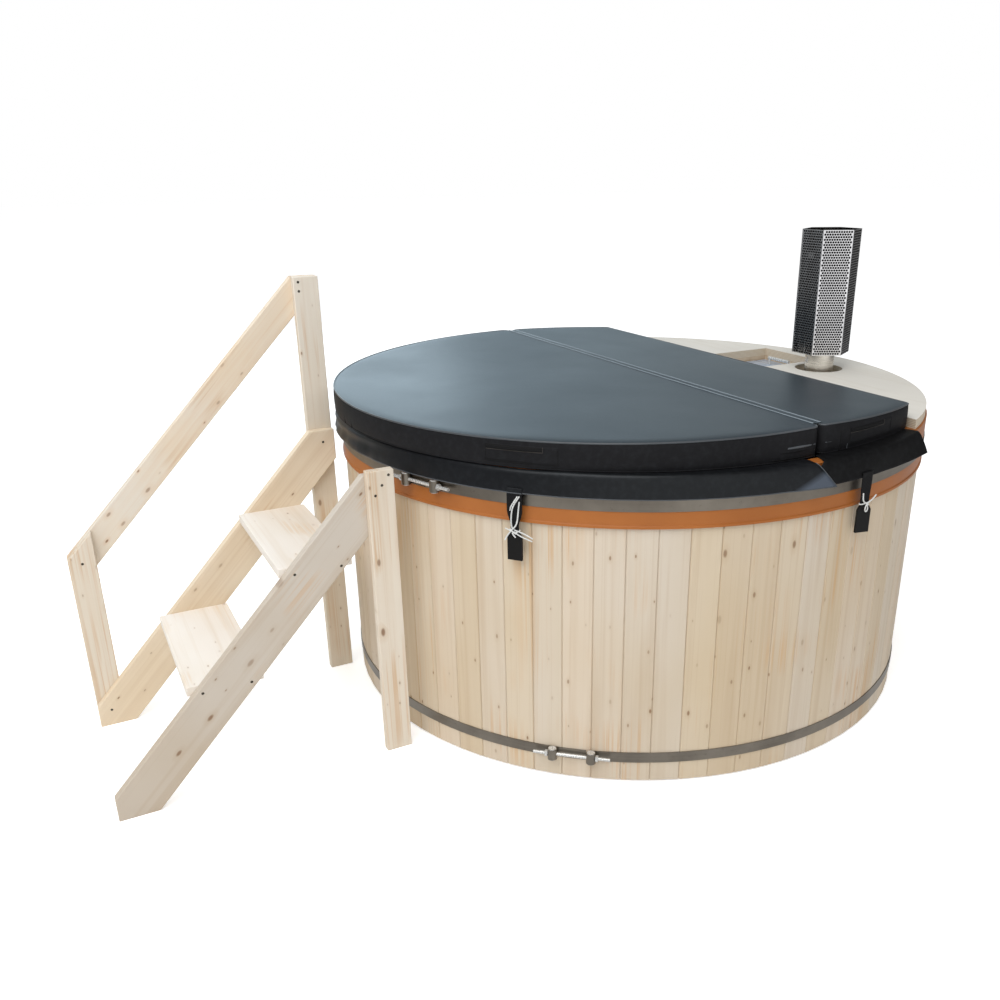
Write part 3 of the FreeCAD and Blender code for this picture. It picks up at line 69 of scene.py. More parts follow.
FRONT_ROUND = (-0.058, 0.966)
REAR_ROUND = (0.038, 0.956)
ROUNDS = {"front": FRONT_ROUND, "rear": REAR_ROUND}
COVER_BASE = 0.9533
COVER_RIDGE = 1.0403
COVER_EDGE = 1.0293
COVER_BACK = 0.455
COVER_FRONT = FRONT_ROUND[0] - FRONT_ROUND[1]
FOLD_Y = 0.012
PANEL_GAP = 0.0054
PANEL_CORNERS = {"front": 0.032, "rear": 0.020}
PIPING_RADIUS = 0.0028
PIPING_INSET = 0.0022
PIPING_DROP = 0.0016
FOOT_RADIUS = 0.0019
FOOT_INSET = 0.0012
FOOT_RISE = 0.0042
SEAM_ENDS = 0.004
ROLL_SUNK = 0.0002
SAME_SPOT = 0.0005
TOP_RIPPLE = 0.0016
RIPPLE_EDGE = 0.04
# Rings of a panel's sleeve: inset, height and whether it may fill out. The height is a share of the side,
# and on the top metres from the plain top. The shares then lead to the middle of the top.
SIDE_RINGS = [
    (0.030, 0.0, 0), (0.007, 0.0, 0), (0.0022, 0.018, 0), (0.0, 0.07, 1),
    (-0.0008, 0.25, 1), (-0.0012, 0.45, 1), (-0.0010, 0.68, 1), (-0.0002, 0.86, 1),
]
TOP_RINGS = [(0.0, -0.0075, 0), (0.0008, -0.0036, 0), (0.0030, -0.0010, 0), (0.0070, 0.0, 1), (0.012, 0.0, 1)]
TOP_SHARES = [0.985, 0.965, 0.94, 0.91, 0.87, 0.82, 0.76, 0.69, 0.61, 0.52, 0.42, 0.31, 0.20, 0.09]
STRIP_HALF = 0.0165
STRIP_ROLL = 0.0132
STRIP_STEPS = 160
STRIP_INSET = 0.018
STRIP_LIFT = 0.0011
STRIP_FALL = 0.011
STRIP_RIPPLE = 0.0004
# Band off the fold's middle whose faces get the paler vinyl: a painted sheen along the strip's rolls.
STRIP_SHEEN = (0.0112, 0.0152)
ROLL_HEIGHT = 0.0020
ROLL_WIDTH = 0.0016
GROOVE_DEPTH = 0.0016
GROOVE_WIDTH = 0.0040
TURNED_FROM = 0.0160
TURNED_DOWN = 0.0016
# Points across one half of the strip over the fold.
STRIP_SIDE = [0.0012, 0.0026, 0.0042, 0.0064, 0.0088, 0.0108, 0.0120, STRIP_ROLL, 0.0144, 0.0156, STRIP_HALF]
# Upright seams on the panels' sides: angle, radius and finish (0 side, 1 pale seam whose paleness is a
# painted highlight, 2 black).
SIDE_SEAMS = {
    "front": [(-92.0, 0.0022, 2), (272.0, 0.0022, 2)],
    "rear": [(3.0, 0.0032, 2), (4.8, 0.0017, 1), (177.0, 0.0032, 2), (175.2, 0.0017, 1)],
}
# Rolls of slack cloth on the panels' sides beside the fold: angles along the side, height and radius.
TUCKS = {
    "front": [(-3.2, 2.6, 0.992, 0.0042), (-4.5, 2.4, 0.980, 0.0030), (-6.0, 2.6, 0.9635, 0.0030)],
    "rear": [(-0.4, 2.8, 0.988, 0.0020)],
}

RIM_EDGE = 1.0066
RIM_TURN = 1.0085
RIM_FLAT = 1.0053
RIM_GAP = 0.0006
RIM_LIFT = 0.0016
SKIRT_TOP = 0.9545
SKIRT_HEM = 0.8905
SKIRT_RADIUS = 1.0252
SKIRT_THICK = 0.002
HEM_PIPING = 0.0017
SKIRT_STEP = 0.7
SKIRT_GAP = 0.0012
SKIRT_TUCK = 0.008
SKIRT_LIP = 0.006
SKIRT_RIPPLE = 0.0008
SKIRT_BOW = 0.0065
BOW_SHARE = 0.09
HANG_CURVE = 1.25
# Where a panel's edge passes over the rim's edge, its skirt starts lower: from, over and by.
LOWERED = (1.0040, 0.0045, 0.0026)
# How much the hem rises with a corner that stands out, and from where on.
HEM_LIFT = (0.18, 0.004)
TRIM_REACH = 0.35
# Rows of a skirt as shares of its drop; those below 0 lie on the rim.
SKIRT_ROWS = [
    -1.5, -1.0, -0.5, 0.0, 0.03, 0.07, 0.12, 0.18, 0.26, 0.36, 0.48, 0.60, 0.72, 0.82, 0.90, 0.96, 1.0,
]
# How far short of its hem corner the covered end of a rear skirt stops, by its drop.
UNDER_TRIM = [(-1.5, 0.058), (-1.0, 0.058), (-0.5, 0.050), (0.0, 0.040), (0.3, 0.018), (1.0, 0.0)]
SPLIT_HEM = 0.020
SPLIT_SLANT = 0.042
UNDERLAP = 0.070
FLAP_OUT = 0.029
FLAP_REACH = 0.130
WING_FLARE = 0.024
WING_ANGLE = 13.0
CREASE_ANGLE = -93.0
CREASE_STEP = 5.5
CREASE_DEPTH = 0.003
CREASE_WIDTH = 1.9
STRAP_CALM = 3.2
HEM_SLACK = 0.0022
SAG_ANGLE = 262.0
SAG_WIDTH = 17.0
SAG_DEPTH = 0.0042

GRIP_LOW = 0.9683
GRIP_HEIGHT = 0.050
GRIP_SWEEP = 12.4
GRIP_ANGLES = {"front": -46.6, "rear": 11.2}
GRIP_PATCH = 0.0004
GRIP_FACE = 0.0022
GRIP_EDGE = 0.04
# The strap on a handle: middle and half width up it, start and length of its free part along it, and how far
# its foot, its sewn ends and its free part stand out.
GRIP_STRAP = (0.82, 0.13)
GRIP_FREE = (0.08, 0.64)
GRIP_OUT = (0.0020, 0.0014, 0.0028)
GRIP_SEAM = 0.0008
# Seams on a handle: from and to along it, from and to up it, steps, and finish (1 webbing, 2 pale edge).
GRIP_SEAMS = [
    (0.02, 0.66, 0.10, 0.10, 20, 1), (0.02, 0.98, 0.035, 0.035, 20, 1), (0.02, 0.785, 0.67, 0.67, 20, 2),
    (0.015, 0.015, 0.04, 0.96, 8, 1), (0.79, 0.79, 0.67, 0.96, 8, 2), (0.985, 0.985, 0.04, 0.96, 8, 1),
]

STRAP_MIDDLE = 1.02755
STRAP_THICK = 0.0025
STRAP_WIDTH = 0.044
STRAP_TOP = 0.904
DRAWN_LENGTH = 0.060
STRAP_ROWS = 40
STRAP_COLUMNS = 16
PLEAT_DEPTH = 0.0016
# Each strap's angle, the height of its tab's neck, and its width there.
STRAPS = {
    "front_right": (-49.6, 0.781, 0.024),
    "front_left": (229.6, 0.781, 0.024),
    "rear_right": (8.0, 0.808, 0.038),
    "rear_left": (172.0, 0.808, 0.038),
}
STRING_RADIUS = 0.002

# String ties, as in part.py: out from the strap's face, along it, and up from the tab's neck.
FRONT_TIE = [
    (0.0027, 0.016, 0.102), (0.0027, 0.006, 0.087), (0.0027, -0.003, 0.072), (0.0027, -0.007, 0.056),
    (0.0027, -0.0085, 0.039), (0.0027, -0.009, 0.023), (0.0031, -0.0065, 0.010), (0.0039, 0.004, 0.004),
    (0.0049, 0.017, 0.002), (0.0059, 0.031, -0.002), (0.0061, 0.044, -0.007), (0.0057, 0.055, -0.013),
]
FRONT_TAIL = [
    (0.0027, 0.016, 0.087), (0.0027, 0.0135, 0.068), (0.0027, 0.0115, 0.049), (0.0029, 0.0095, 0.032),
    (0.0046, 0.0055, 0.018), (0.0084, -0.003, 0.0085), (0.0092, -0.011, -0.001), (0.0088, -0.019, -0.012),
    (0.0078, -0.026, -0.025),
]
REAR_TIE = [
    (0.0027, -0.015, 0.036), (0.0027, -0.0145, 0.023), (0.0031, -0.011, 0.011), (0.0039, -0.002, 0.0045),
    (0.0049, 0.009, 0.005), (0.0057, 0.020, 0.009), (0.0061, 0.031, 0.015), (0.0057, 0.041, 0.022),
]

# Turns and short ends of the knots, in the same way.
FRONT_KNOT = [
    [(0.0027, 0.0105, 0.1015), (0.0027, 0.0005, 0.0865), (0.0027, -0.0085, 0.071), (0.0027, -0.0115, 0.060)],
    [(0.0068, -0.004, 0.005), (0.003, -0.0125, 0.004), (-0.001, -0.0152, 0.004), (-0.0052, -0.010, 0.004),
     (-0.0055, 0.0, 0.004), (-0.0052, 0.010, 0.004), (-0.001, 0.0152, 0.004), (0.003, 0.0125, 0.002),
     (0.0068, 0.005, -0.001)],
    [(0.0090, 0.003, 0.001), (0.0105, -0.008, 0.0055), (0.0085, -0.0235, 0.0095)],
    [(0.0085, 0.002, 0.002), (0.0100, 0.014, -0.0045), (0.0095, 0.030, -0.0115), (0.0085, 0.055, -0.0195)],
    [(0.0105, -0.003, 0.0), (0.0118, 0.001, -0.006), (0.0095, 0.0065, -0.0135)],
    [(0.0075, -0.008, 0.009), (0.0125, -0.001, 0.003), (0.0085, 0.0075, -0.004)],
]
REAR_KNOT = [
    [(0.0060, -0.006, 0.005), (0.003, -0.017, 0.004), (-0.001, -0.0222, 0.004), (-0.0052, -0.015, 0.004),
     (-0.0055, 0.0, 0.004), (-0.0052, 0.015, 0.004), (-0.001, 0.0222, 0.004), (0.003, 0.017, 0.004),
     (0.0060, 0.006, 0.004)],
    [(0.0085, -0.002, 0.004), (0.0102, -0.0085, -0.003), (0.0105, -0.0105, -0.011),
     (0.0105, -0.0065, -0.0175), (0.0105, -0.0015, -0.016), (0.0108, 0.0005, -0.009),
     (0.0108, -0.0025, -0.001), (0.0090, -0.0045, 0.007)],
    [(0.0068, -0.009, 0.009), (0.0110, -0.001, 0.004), (0.0078, 0.007, -0.001)],
]

GUARD_AXIS = (0.138, 0.776)
GUARD_FLATS = 0.184
GUARD_LOW = 1.045
GUARD_HIGH = 1.485
GUARD_SHEET = 0.0015
HOLES_ACROSS = 11
HOLE_ROWS = 50
HOLE_RADIUS = 0.0039
HOLE_SIDES = 12
GUARD_BORDER = 0.0022
SHADE_SHEET_IN = 0.0045

# Rounding of edges, and the shortest edge that gets it.
EASED_WOOD = (0.0025, 0.020)
EASED_TAB = (0.0018, 0.005)
SHARP_ANGLE = math.radians(25)
SMOOTH_ANGLE = math.radians(60)

# Colours in display values: pale, warm and dark wood, and the streaks in it.
SPRUCE = ((214, 202, 185), (208, 192, 168), (182, 156, 124))
STAIR = ((228, 219, 205), (222, 208, 187), (198, 170, 136))
STREAK = (204, 164, 118)
WHITE = (1, 1, 1, 1)
# How strongly each of the wood's marks shows.
BAND_SHARE = 0.36
LINE_SHARE = 0.15
STREAK_SHARE = 0.55
SEAM_SHARE = 0.26
KNOT_HALO = 0.40
KNOT_HEART = 0.78
# Cells to a metre, or on the staves to a radian, that may hold a knot.
KNOTS_ACROSS = 17.0
KNOTS_ALONG = 8.0
STAVES = 72
STAVE_TONES = [
    (0.0, (0.93, 0.89, 0.82, 1)), (1.0, (1.03, 1.03, 1.05, 1)), (0.3, (0.98, 0.96, 0.91, 1)),
    (0.55, (0.96, 0.97, 0.99, 1)), (0.8, (1.0, 0.98, 0.96, 1)),
]
SLOPE = math.atan2(0.301, 0.290)
PLY = 0.005
# Height above which the flue is painted darker: painted shade inside the guard.
GUARD_SHADE_LOW = 1.05

FLOOR_HALF = 60.0
WORLD_LIGHT = 0.62
FLOOR_GLOW = 0.41
BRIGHT_WAY = (0.985, -0.174, 0)

# Levels of the backdrop and the far floor in reflections, from against the bright way to along it.
BACKDROP = [
    (-0.97, (0.66, 0.86, 1.0, 1)), (-0.92, (0.71, 0.90, 1.02, 1)), (-0.84, (0.55, 0.62, 0.65, 1)),
    (-0.52, (0.13, 0.13, 0.13, 1)), (0.52, (0.13, 0.13, 0.13, 1)), (0.97, (1.0, 1.0, 1.0, 1)),
]
FAR_FLOOR = [(-0.95, 0.34), (-0.70, 0.16), (0.50, 0.14), (0.92, 1.0)]
NEAR_FLOOR = 0.78
FLOOR_REACH = (3.0, 7.0)

PAD_CAP = 0.0030
SIDE_CAP = 0.0008
FOLD_CAP = 0.012
FOLD_CALM = 0.16
FOLD_DROP = 0.0022
FOLD_DROP_REACH = 0.02
PAD_PRESSURE = 4.0
PAD_FRAMES = 20

# ---------------------------------------------------------------- small helpers and camera


def link(name, data):
    """A new object in the scene."""
    item = bpy.data.objects.new(name, data)
    scene.collection.objects.link(item)
    return item


def dress(data, *finishes):
    for finish in finishes:
        data.materials.append(finish)


def bell(share):
    return math.exp(-share ** 2)


def camera():
    ahead = Vector((
        math.sin(CAMERA_YAW) * math.cos(CAMERA_PITCH),
        math.cos(CAMERA_YAW) * math.cos(CAMERA_PITCH),
        -math.sin(CAMERA_PITCH),
    ))
    right = Vector((math.cos(CAMERA_YAW), -math.sin(CAMERA_YAW), 0))
    above = right.cross(ahead)
    turned = right * math.cos(CAMERA_ROLL) + above * math.sin(CAMERA_ROLL)
    above = above * math.cos(CAMERA_ROLL) - right * math.sin(CAMERA_ROLL)
    lens = bpy.data.cameras.new("photo_camera")
    lens.sensor_width = 36
    lens.lens = CAMERA_LENS
    lens.shift_x, lens.shift_y = CAMERA_SHIFT
    scene.camera = link("photo_camera", lens)
    turn = Matrix((turned, above, -ahead)).transposed().to_4x4()
    scene.camera.matrix_world = Matrix.Translation(CAMERA_PLACE) @ turn


camera()

# ---------------------------------------------------------------- finishes


def srgb(red, green, blue):
    """A colour in display values from 0 to 255, as linear RGBA."""
    def linear(level):
        share = level / 255
        return share / 12.92 if share <= 0.04045 else ((share + 0.055) / 1.055) ** 2.4
    return (linear(red), linear(green), linear(blue), 1.0)


class Nodes:
    """A node tree and short ways to add to it."""

    def __init__(self, tree):
        self.tree = tree

    def feed(self, socket, source):
        if isinstance(source, bpy.types.NodeSocket):
            self.tree.links.new(source, socket)
        else:
            socket.default_value = source

    def node(self, kind, inputs=None, **settings):
        item = self.tree.nodes.new(kind)
        for key, setting in settings.items():
            setattr(item, key, setting)
        for key, source in (inputs or {}).items():
            self.feed(item.inputs[key], source)
        return item

    def sized(self, source, scale, turn=(0, 0, 0), shift=(0, 0, 0)):
        inputs = {"Vector": source, "Scale": scale, "Rotation": turn, "Location": shift}
        return self.node("ShaderNodeMapping", inputs).outputs["Vector"]

    def noise(self, source, scale, detail=3.0, rough=0.55, twist=0.0):
        inputs = {"Vector": source, "Scale": scale, "Detail": detail, "Roughness": rough, "Distortion": twist}
        return self.node("ShaderNodeTexNoise", inputs).outputs["Fac"]

    def cells(self, source, scale, sides="3D"):
        inputs = {"Vector": source, "Scale": scale}
        return self.node("ShaderNodeTexVoronoi", inputs, voronoi_dimensions=sides).outputs

    def waves(self, source, scale, twist, way):
        inputs = {"Vector": source, "Scale": scale, "Distortion": twist}
        return self.node("ShaderNodeTexWave", inputs, bands_direction=way).outputs["Fac"]

    def ramp(self, source, *stops):
        item = self.node("ShaderNodeValToRGB", {"Fac": source})
        elements = item.color_ramp.elements
        for index, (spot, colour) in enumerate(stops):
            stop = elements[index] if index < 2 else elements.new(spot)
            stop.position = spot
            stop.color = colour if hasattr(colour, "__len__") else (colour, colour, colour, 1)
        return item.outputs["Color"]

    def math(self, operation, first, second=0.0):
        return self.node("ShaderNodeMath", {0: first, 1: second}, operation=operation).outputs[0]

    def vector(self, operation, first, output, second=(0, 0, 0)):
        return self.node("ShaderNodeVectorMath", {0: first, 1: second}, operation=operation).outputs[output]

    def mix(self, share, first, second, blend="MIX"):
        inputs = {"Fac": share, "Color1": first, "Color2": second}
        return self.node("ShaderNodeMixRGB", inputs, blend_type=blend).outputs["Color"]

    def tone(self, source, low, high, first, second):
        """One colour that turns into another as the source rises between two levels."""
        return self.mix(self.ramp(source, (low, 0.0), (high, 1.0)), first, second)

    def shader_mix(self, share, first, second):
        return self.node("ShaderNodeMixShader", {0: share, 1: first, 2: second}).outputs[0]

    def parts(self, source):
        return self.node("ShaderNodeSeparateXYZ", {"Vector": source}).outputs

    def graded(self, way, stops):
        """Levels by how far a direction points along the bright way, from -1 to 1."""
        along = self.vector("DOT_PRODUCT", way, "Value", BRIGHT_WAY)
        share = self.math("ADD", self.math("MULTIPLY", along, 0.5), 0.5)
        return self.ramp(share, *((spot / 2 + 0.5, level) for spot, level in stops))


class Finish(Nodes):
    """One procedural material on the Principled shader."""

    def __init__(self, name, **plain):
        self.material = bpy.data.materials.new(name)
        self.material.use_nodes = True
        super().__init__(self.material.node_tree)
        self.shader = self.tree.nodes["Principled BSDF"]
        for socket, setting in plain.items():
            self.set(socket, setting)
        self.place = self.node("ShaderNodeTexCoord").outputs["Object"]

    def bump(self, height, strength, reach):
        inputs = {"Height": height, "Strength": strength, "Distance": reach}
        before = self.shader.inputs["Normal"].links
        if before:
            inputs["Normal"] = before[0].from_socket
        self.set("Normal", self.node("ShaderNodeBump", inputs).outputs["Normal"])

    def set(self, socket, source):
        self.feed(self.shader.inputs[socket], source)


def wood(name, pale, warm, dark, grain="Z", tilt=0.0, knots=1.0, staves=False, seed=0.0, streak=STREAK):
    """Planed spruce: bands, growth lines and streaks along the grain, knots, and a tone for each stave."""
    def by_grain(along, across):
        return tuple(along if axis == grain else across for axis in "XYZ")

    pale, warm, dark, streak = (srgb(*colour) for colour in (pale, warm, dark, streak))
    look = Finish(name)
    look.set("Specular IOR Level", 0.25)
    turned = look.sized(look.place, (1, 1, 1), (tilt, 0, 0), (seed, seed * 0.7, seed * 1.3))
    broad = look.noise(look.sized(turned, (2.6, 2.6, 1.2)), 1.0, 2.0)
    bands = look.noise(look.sized(turned, by_grain(0.8, 24.0)), 1.0, 3.0, 0.5, 0.5)
    lines = look.noise(look.sized(turned, by_grain(0.8, 120.0)), 1.0, 3.0, 0.5, 1.0)
    fibres = look.noise(look.sized(turned, by_grain(9, 420)), 1.0, 2.0)
    colour = look.tone(broad, 0.35, 0.68, pale, warm)
    colour = look.mix(look.ramp(bands, (0.47, 0.0), (0.74, BAND_SHARE)), colour, dark)
    colour = look.mix(look.ramp(lines, (0.57, 0.0), (0.66, LINE_SHARE)), colour, dark)
    patch = look.noise(look.sized(turned, (5, 5, 3), shift=(7, 3, 5)), 1.0, 1.0)
    figure = look.noise(look.sized(turned, by_grain(0.8, 57.6)), 1.0, 2.0, 0.5, 1.6)
    figure = look.math("MULTIPLY", look.ramp(figure, (0.50, 0.0), (0.62, STREAK_SHARE)),
                       look.ramp(patch, (0.52, 0.0), (0.66, 1.0)))
    colour = look.mix(figure, colour, streak)
    spot = look.parts(turned)
    across, along = (spot[axis] for axis in {"X": "YX", "Y": "ZY", "Z": "YZ"}[grain])
    if staves:
        spot = look.parts(look.place)
        across = look.math("ARCTAN2", spot["Y"], spot["X"])
        count = look.math("ADD", look.math("MULTIPLY", across, STAVES / (2 * math.pi)), 0.5)
        board = look.node("ShaderNodeTexWhiteNoise", {"W": look.math("FLOOR", count)}, noise_dimensions="1D")
        colour = look.mix(1.0, colour, look.ramp(board.outputs["Value"], *STAVE_TONES), "MULTIPLY")
        edge = look.math("ABSOLUTE", look.math("SUBTRACT", look.math("FRACT", count), 0.5))
        worn = look.noise(look.sized(look.place, (9, 9, 0.7)), 1.0, 2.0)
        seam = look.math("MULTIPLY", look.ramp(edge, (0.44, 0.0), (0.5, 1.0)),
                         look.ramp(worn, (0.36, 0.0), (0.66, SEAM_SHARE)))
        colour = look.mix(seam, colour, dark)
    sides = {"X": look.math("MULTIPLY", across, KNOTS_ACROSS), "Y": look.math("MULTIPLY", along, KNOTS_ALONG)}
    cells = look.cells(look.node("ShaderNodeCombineXYZ", sides).outputs["Vector"], 1.0, "2D")
    tones = look.parts(cells["Color"])
    spots = look.math("MULTIPLY", cells["Distance"], look.ramp(tones["Z"], (0.0, 0.75), (1.0, 3.0)))
    strength = look.math("MULTIPLY", look.ramp(tones["X"], (0.50, 0.0), (0.54, 1.0)),
                         look.ramp(tones["Y"], (0.1, 0.25), (0.95, 1.0)))
    for reach, share, tint in ((0.26, KNOT_HALO, dark), (0.10, KNOT_HEART, srgb(122, 84, 54))):
        ring = look.math("MULTIPLY", look.ramp(spots, (0.05, share * knots), (reach, 0.0)), strength)
        colour = look.mix(ring, colour, tint)
    look.set("Base Color", colour)
    look.set("Roughness", look.ramp(fibres, (0.3, 0.52), (0.7, 0.7)))
    look.bump(fibres, 0.10, 0.0006)
    look.bump(bands, 0.06, 0.0015)
    return look.material


def vinyl(name, deep, light, gloss, level, tint=(1, 1, 1, 1), bent=None):
    """Coated cloth: pebbled grain, cloudy wear and a broad sheen, with a painted sheen (a paler colour) where
    a skirt's flap is bent out.
    """
    look = Finish(name)
    look.set("Specular IOR Level", level)
    look.set("Specular Tint", tint)
    cloud = look.noise(look.place, 2.6, 3.0, 0.5)
    dust = look.noise(look.place, 60.0, 4.0, 0.6)
    colour = look.tone(cloud, 0.32, 0.7, srgb(*deep), srgb(*light))
    colour = look.mix(look.ramp(dust, (0.45, 0.0), (0.9, 0.04)), colour, srgb(120, 128, 134))
    # Painted sheen: a paler colour laid by place where a skirt's flap bends out near the split.
    if bent is not None:
        spot = look.parts(look.place)
        drop = look.math("MULTIPLY", look.math("SUBTRACT", SKIRT_TOP, spot["Z"]), 1 / (SKIRT_TOP - SKIRT_HEM))
        away = look.math("SUBTRACT", FOLD_Y - SPLIT_HEM, spot["Y"])
        past = look.math("SUBTRACT", drop, look.math("MULTIPLY", away, 1 / FLAP_REACH))
        colour = look.tone(past, 0.02, 0.30, colour, srgb(*bent))
    look.set("Base Color", colour)
    look.set("Roughness", look.ramp(cloud, (0.3, gloss - 0.03), (0.7, gloss + 0.03)))
    look.bump(look.cells(look.place, 620.0)["Distance"], 0.20, 0.0004)
    look.bump(look.noise(look.place, 14.0, 2.0), 0.07, 0.004)
    return look.material


def weave(name, deep, light, pitch, gloss=0.75):
    """Woven tape: ribs across and along it."""
    look = Finish(name, Roughness=gloss)
    look.set("Specular IOR Level", 0.25)
    height = look.math("MULTIPLY", look.waves(look.place, 1 / pitch, 0.6, "Z"),
                       look.waves(look.place, 0.8 / pitch, 0.6, "DIAGONAL"))
    look.set("Base Color", look.mix(height, srgb(*deep), srgb(*light)))
    look.bump(height, 0.5, 0.0006)
    return look.material


def metal(name, deep, light, gloss, stretch=(2, 2, 260), fleck=0.0, shade_above=None, bare=1.0):
    """Brushed steel: fine scratches along one way, cloudy tone, dark flecks, and painted shade above a
    height.
    """
    look = Finish(name, Metallic=bare)
    deep, light = srgb(*deep), srgb(*light)
    cloud = look.noise(look.place, 5.0, 4.0, 0.6)
    scratch = look.noise(look.sized(look.place, stretch), 1.0, 4.0, 0.6)
    colour = look.tone(cloud, 0.3, 0.72, deep, light)
    colour = look.mix(look.ramp(scratch, (0.4, 0.0), (0.75, 0.35)), colour, light)
    if fleck:
        spots = look.ramp(look.noise(look.place, 90.0, 3.0, 0.7), (0.62, 0.0), (0.7, fleck))
        colour = look.mix(spots, colour, srgb(70, 52, 40))
    # Painted shade: darker above a height, for the flue's shaded part inside the guard.
    if shade_above is not None:
        above = look.math("MULTIPLY", look.math("SUBTRACT", look.parts(look.place)["Z"], shade_above), 25.0)
        colour = look.mix(look.ramp(above, (0.0, 0.0), (1.0, 0.85)), colour, srgb(52, 48, 45))
    look.set("Base Color", colour)
    look.set("Roughness", look.ramp(scratch, (0.3, gloss - 0.07), (0.7, gloss + 0.1)))
    look.bump(scratch, 0.06, 0.0004)
    return look.material


def plastic(name, deep, light, gloss, coat=0.0, level=0.5):
    look = Finish(name)
    look.set("Coat Weight", coat)
    look.set("Coat Roughness", 0.2)
    look.set("Specular IOR Level", level)
    cloud = look.noise(look.place, 3.2, 4.0, 0.55)
    look.set("Base Color", look.tone(cloud, 0.32, 0.7, srgb(*deep), srgb(*light)))
    look.set("Roughness", look.ramp(cloud, (0.3, gloss - 0.06), (0.7, gloss + 0.06)))
    look.bump(look.noise(look.place, 240.0, 2.0), 0.06, 0.0006)
    look.bump(look.noise(look.place, 11.0, 2.0), 0.06, 0.004)
    return look.material


def plywood(name):
    """Pale sealed plywood, with the plies showing on its edges."""
    look = Finish(name, Roughness=0.55)
    figure = look.noise(look.sized(look.place, (1.2, 16, 16)), 1.0, 4.0, 0.6, 1.2)
    cloud = look.noise(look.place, 3.0, 3.0)
    face = look.tone(cloud, 0.3, 0.7, srgb(225, 221, 212), srgb(216, 212, 203))
    face = look.mix(look.ramp(figure, (0.5, 0.0), (0.75, 0.4)), face, srgb(205, 196, 180))
    ply = look.math("FRACT", look.math("MULTIPLY", look.parts(look.place)["Z"], 1 / PLY))
    layers = look.ramp(ply, (0.42, srgb(218, 208, 190)), (0.5, srgb(192, 172, 144)))
    upright = look.node("ShaderNodeNewGeometry").outputs["Normal"]
    level = look.math("ABSOLUTE", look.parts(upright)["Z"])
    look.set("Base Color", look.tone(level, 0.4, 0.6, layers, face))
    look.bump(figure, 0.08, 0.001)
    return look.material


def string_finish(name):
    look = Finish(name, Roughness=0.8)
    twist = look.waves(look.place, 260.0, 1.5, "DIAGONAL")
    look.set("Base Color", look.mix(twist, srgb(196, 198, 196), srgb(240, 241, 239)))
    look.bump(twist, 0.5, 0.0006)
    return look.material


staves_wood = wood("stave_spruce", *SPRUCE, staves=True)
inner_wood = wood("inner_spruce", *SPRUCE, grain="X", seed=3.1)
bearer_wood = wood("bearer_spruce", (214, 194, 160), (200, 174, 136), SPRUCE[2], grain="Y", seed=5.3)
upright_wood = wood("stair_upright", *STAIR, grain="Z", seed=1.7)
# Copies of the stair spruce in tones set by how the boards are lit: the near stringer's darker tone is
# painted shade on its shaded face, and the treads' paler tone is painted light on their lit tops.
near_wood_painted_shade = wood("stair_near_slope_painted_shade", (204, 195, 183), (197, 184, 167), (178, 154, 124), grain="Y",
                 tilt=-SLOPE, seed=2.9)
far_wood = wood("stair_far_slope", (232, 217, 194), (226, 207, 179), STAIR[2], grain="Y", tilt=-SLOPE,
                seed=8.3)
rail_wood = wood("stair_rail", STAIR[0], (232, 214, 188), (214, 172, 128), grain="Y", tilt=-SLOPE, seed=7.7)
tread_wood_painted_light = wood("stair_tread_painted_light", (241, 235, 227), (237, 229, 217), (216, 198, 174), grain="X", seed=4.4,
                  knots=0.6, streak=(228, 206, 178))
frame_wood = wood("hatch_wood", (212, 194, 170), (198, 176, 148), (160, 130, 98), grain="X", seed=6.1)
deck_ply = plywood("deck_plywood")
liner_plastic = plastic("liner_plastic", (160, 94, 40), (178, 108, 50), 0.44, level=0.3)
hoop_steel = metal("hoop_steel", (114, 107, 98), (151, 144, 133), 0.40, fleck=0.2)
tension_steel = metal("tension_steel", (196, 196, 193), (232, 232, 230), 0.26, (260, 260, 2), bare=0.5)
stove_steel = metal("stove_steel", (168, 176, 186), (208, 214, 222), 0.34, (3, 160, 160), fleck=0.2)
# The lid's pale bluish tone paints the bluish reflection it shows.
lid_steel_painted_reflection = metal("lid_steel_painted_reflection", (142, 160, 186), (216, 230, 248), 0.30, (3, 60, 60), fleck=0.3, bare=0.5)
grate_iron = metal("grate_iron", (58, 54, 50), (88, 82, 76), 0.6, (40, 40, 40), fleck=0.5)
flue_steel = metal("flue_steel", (212, 206, 196), (242, 238, 231), 0.26, (2, 2, 220), shade_above=GUARD_SHADE_LOW)
guard_steel = metal("guard_steel", (214, 214, 216), (246, 246, 248), 0.22, (90, 90, 3))
# Painted shade: the near-black finish inside the guard and on its hole walls.
guard_inside = metal("guard_inside", (22, 20, 18), (34, 31, 28), 0.6, (90, 90, 3))
top_vinyl = vinyl("cover_vinyl", (40, 48, 54), (47, 56, 63), 0.38, 0.42, (0.78, 0.92, 1.0, 1))
# Paler vinyl for piping, bindings, seams and one roll: its pale tone paints the highlight these beads and
# rolls catch.
highlight_vinyl = vinyl("cover_seam_vinyl", (66, 70, 74), (80, 84, 88), 0.36, 0.45)
# Paler vinyl for the fold strip's rolls: a painted sheen.
fold_sheen_vinyl = vinyl("cover_fold_vinyl", (112, 121, 128), (128, 138, 146), 0.40, 0.4)
grip_edge = vinyl("grip_edge_vinyl", (64, 61, 58), (78, 74, 70), 0.5, 0.12)
side_vinyl = vinyl("cover_side_vinyl", (28, 28, 30), (33, 33, 35), 0.50, 0.07)
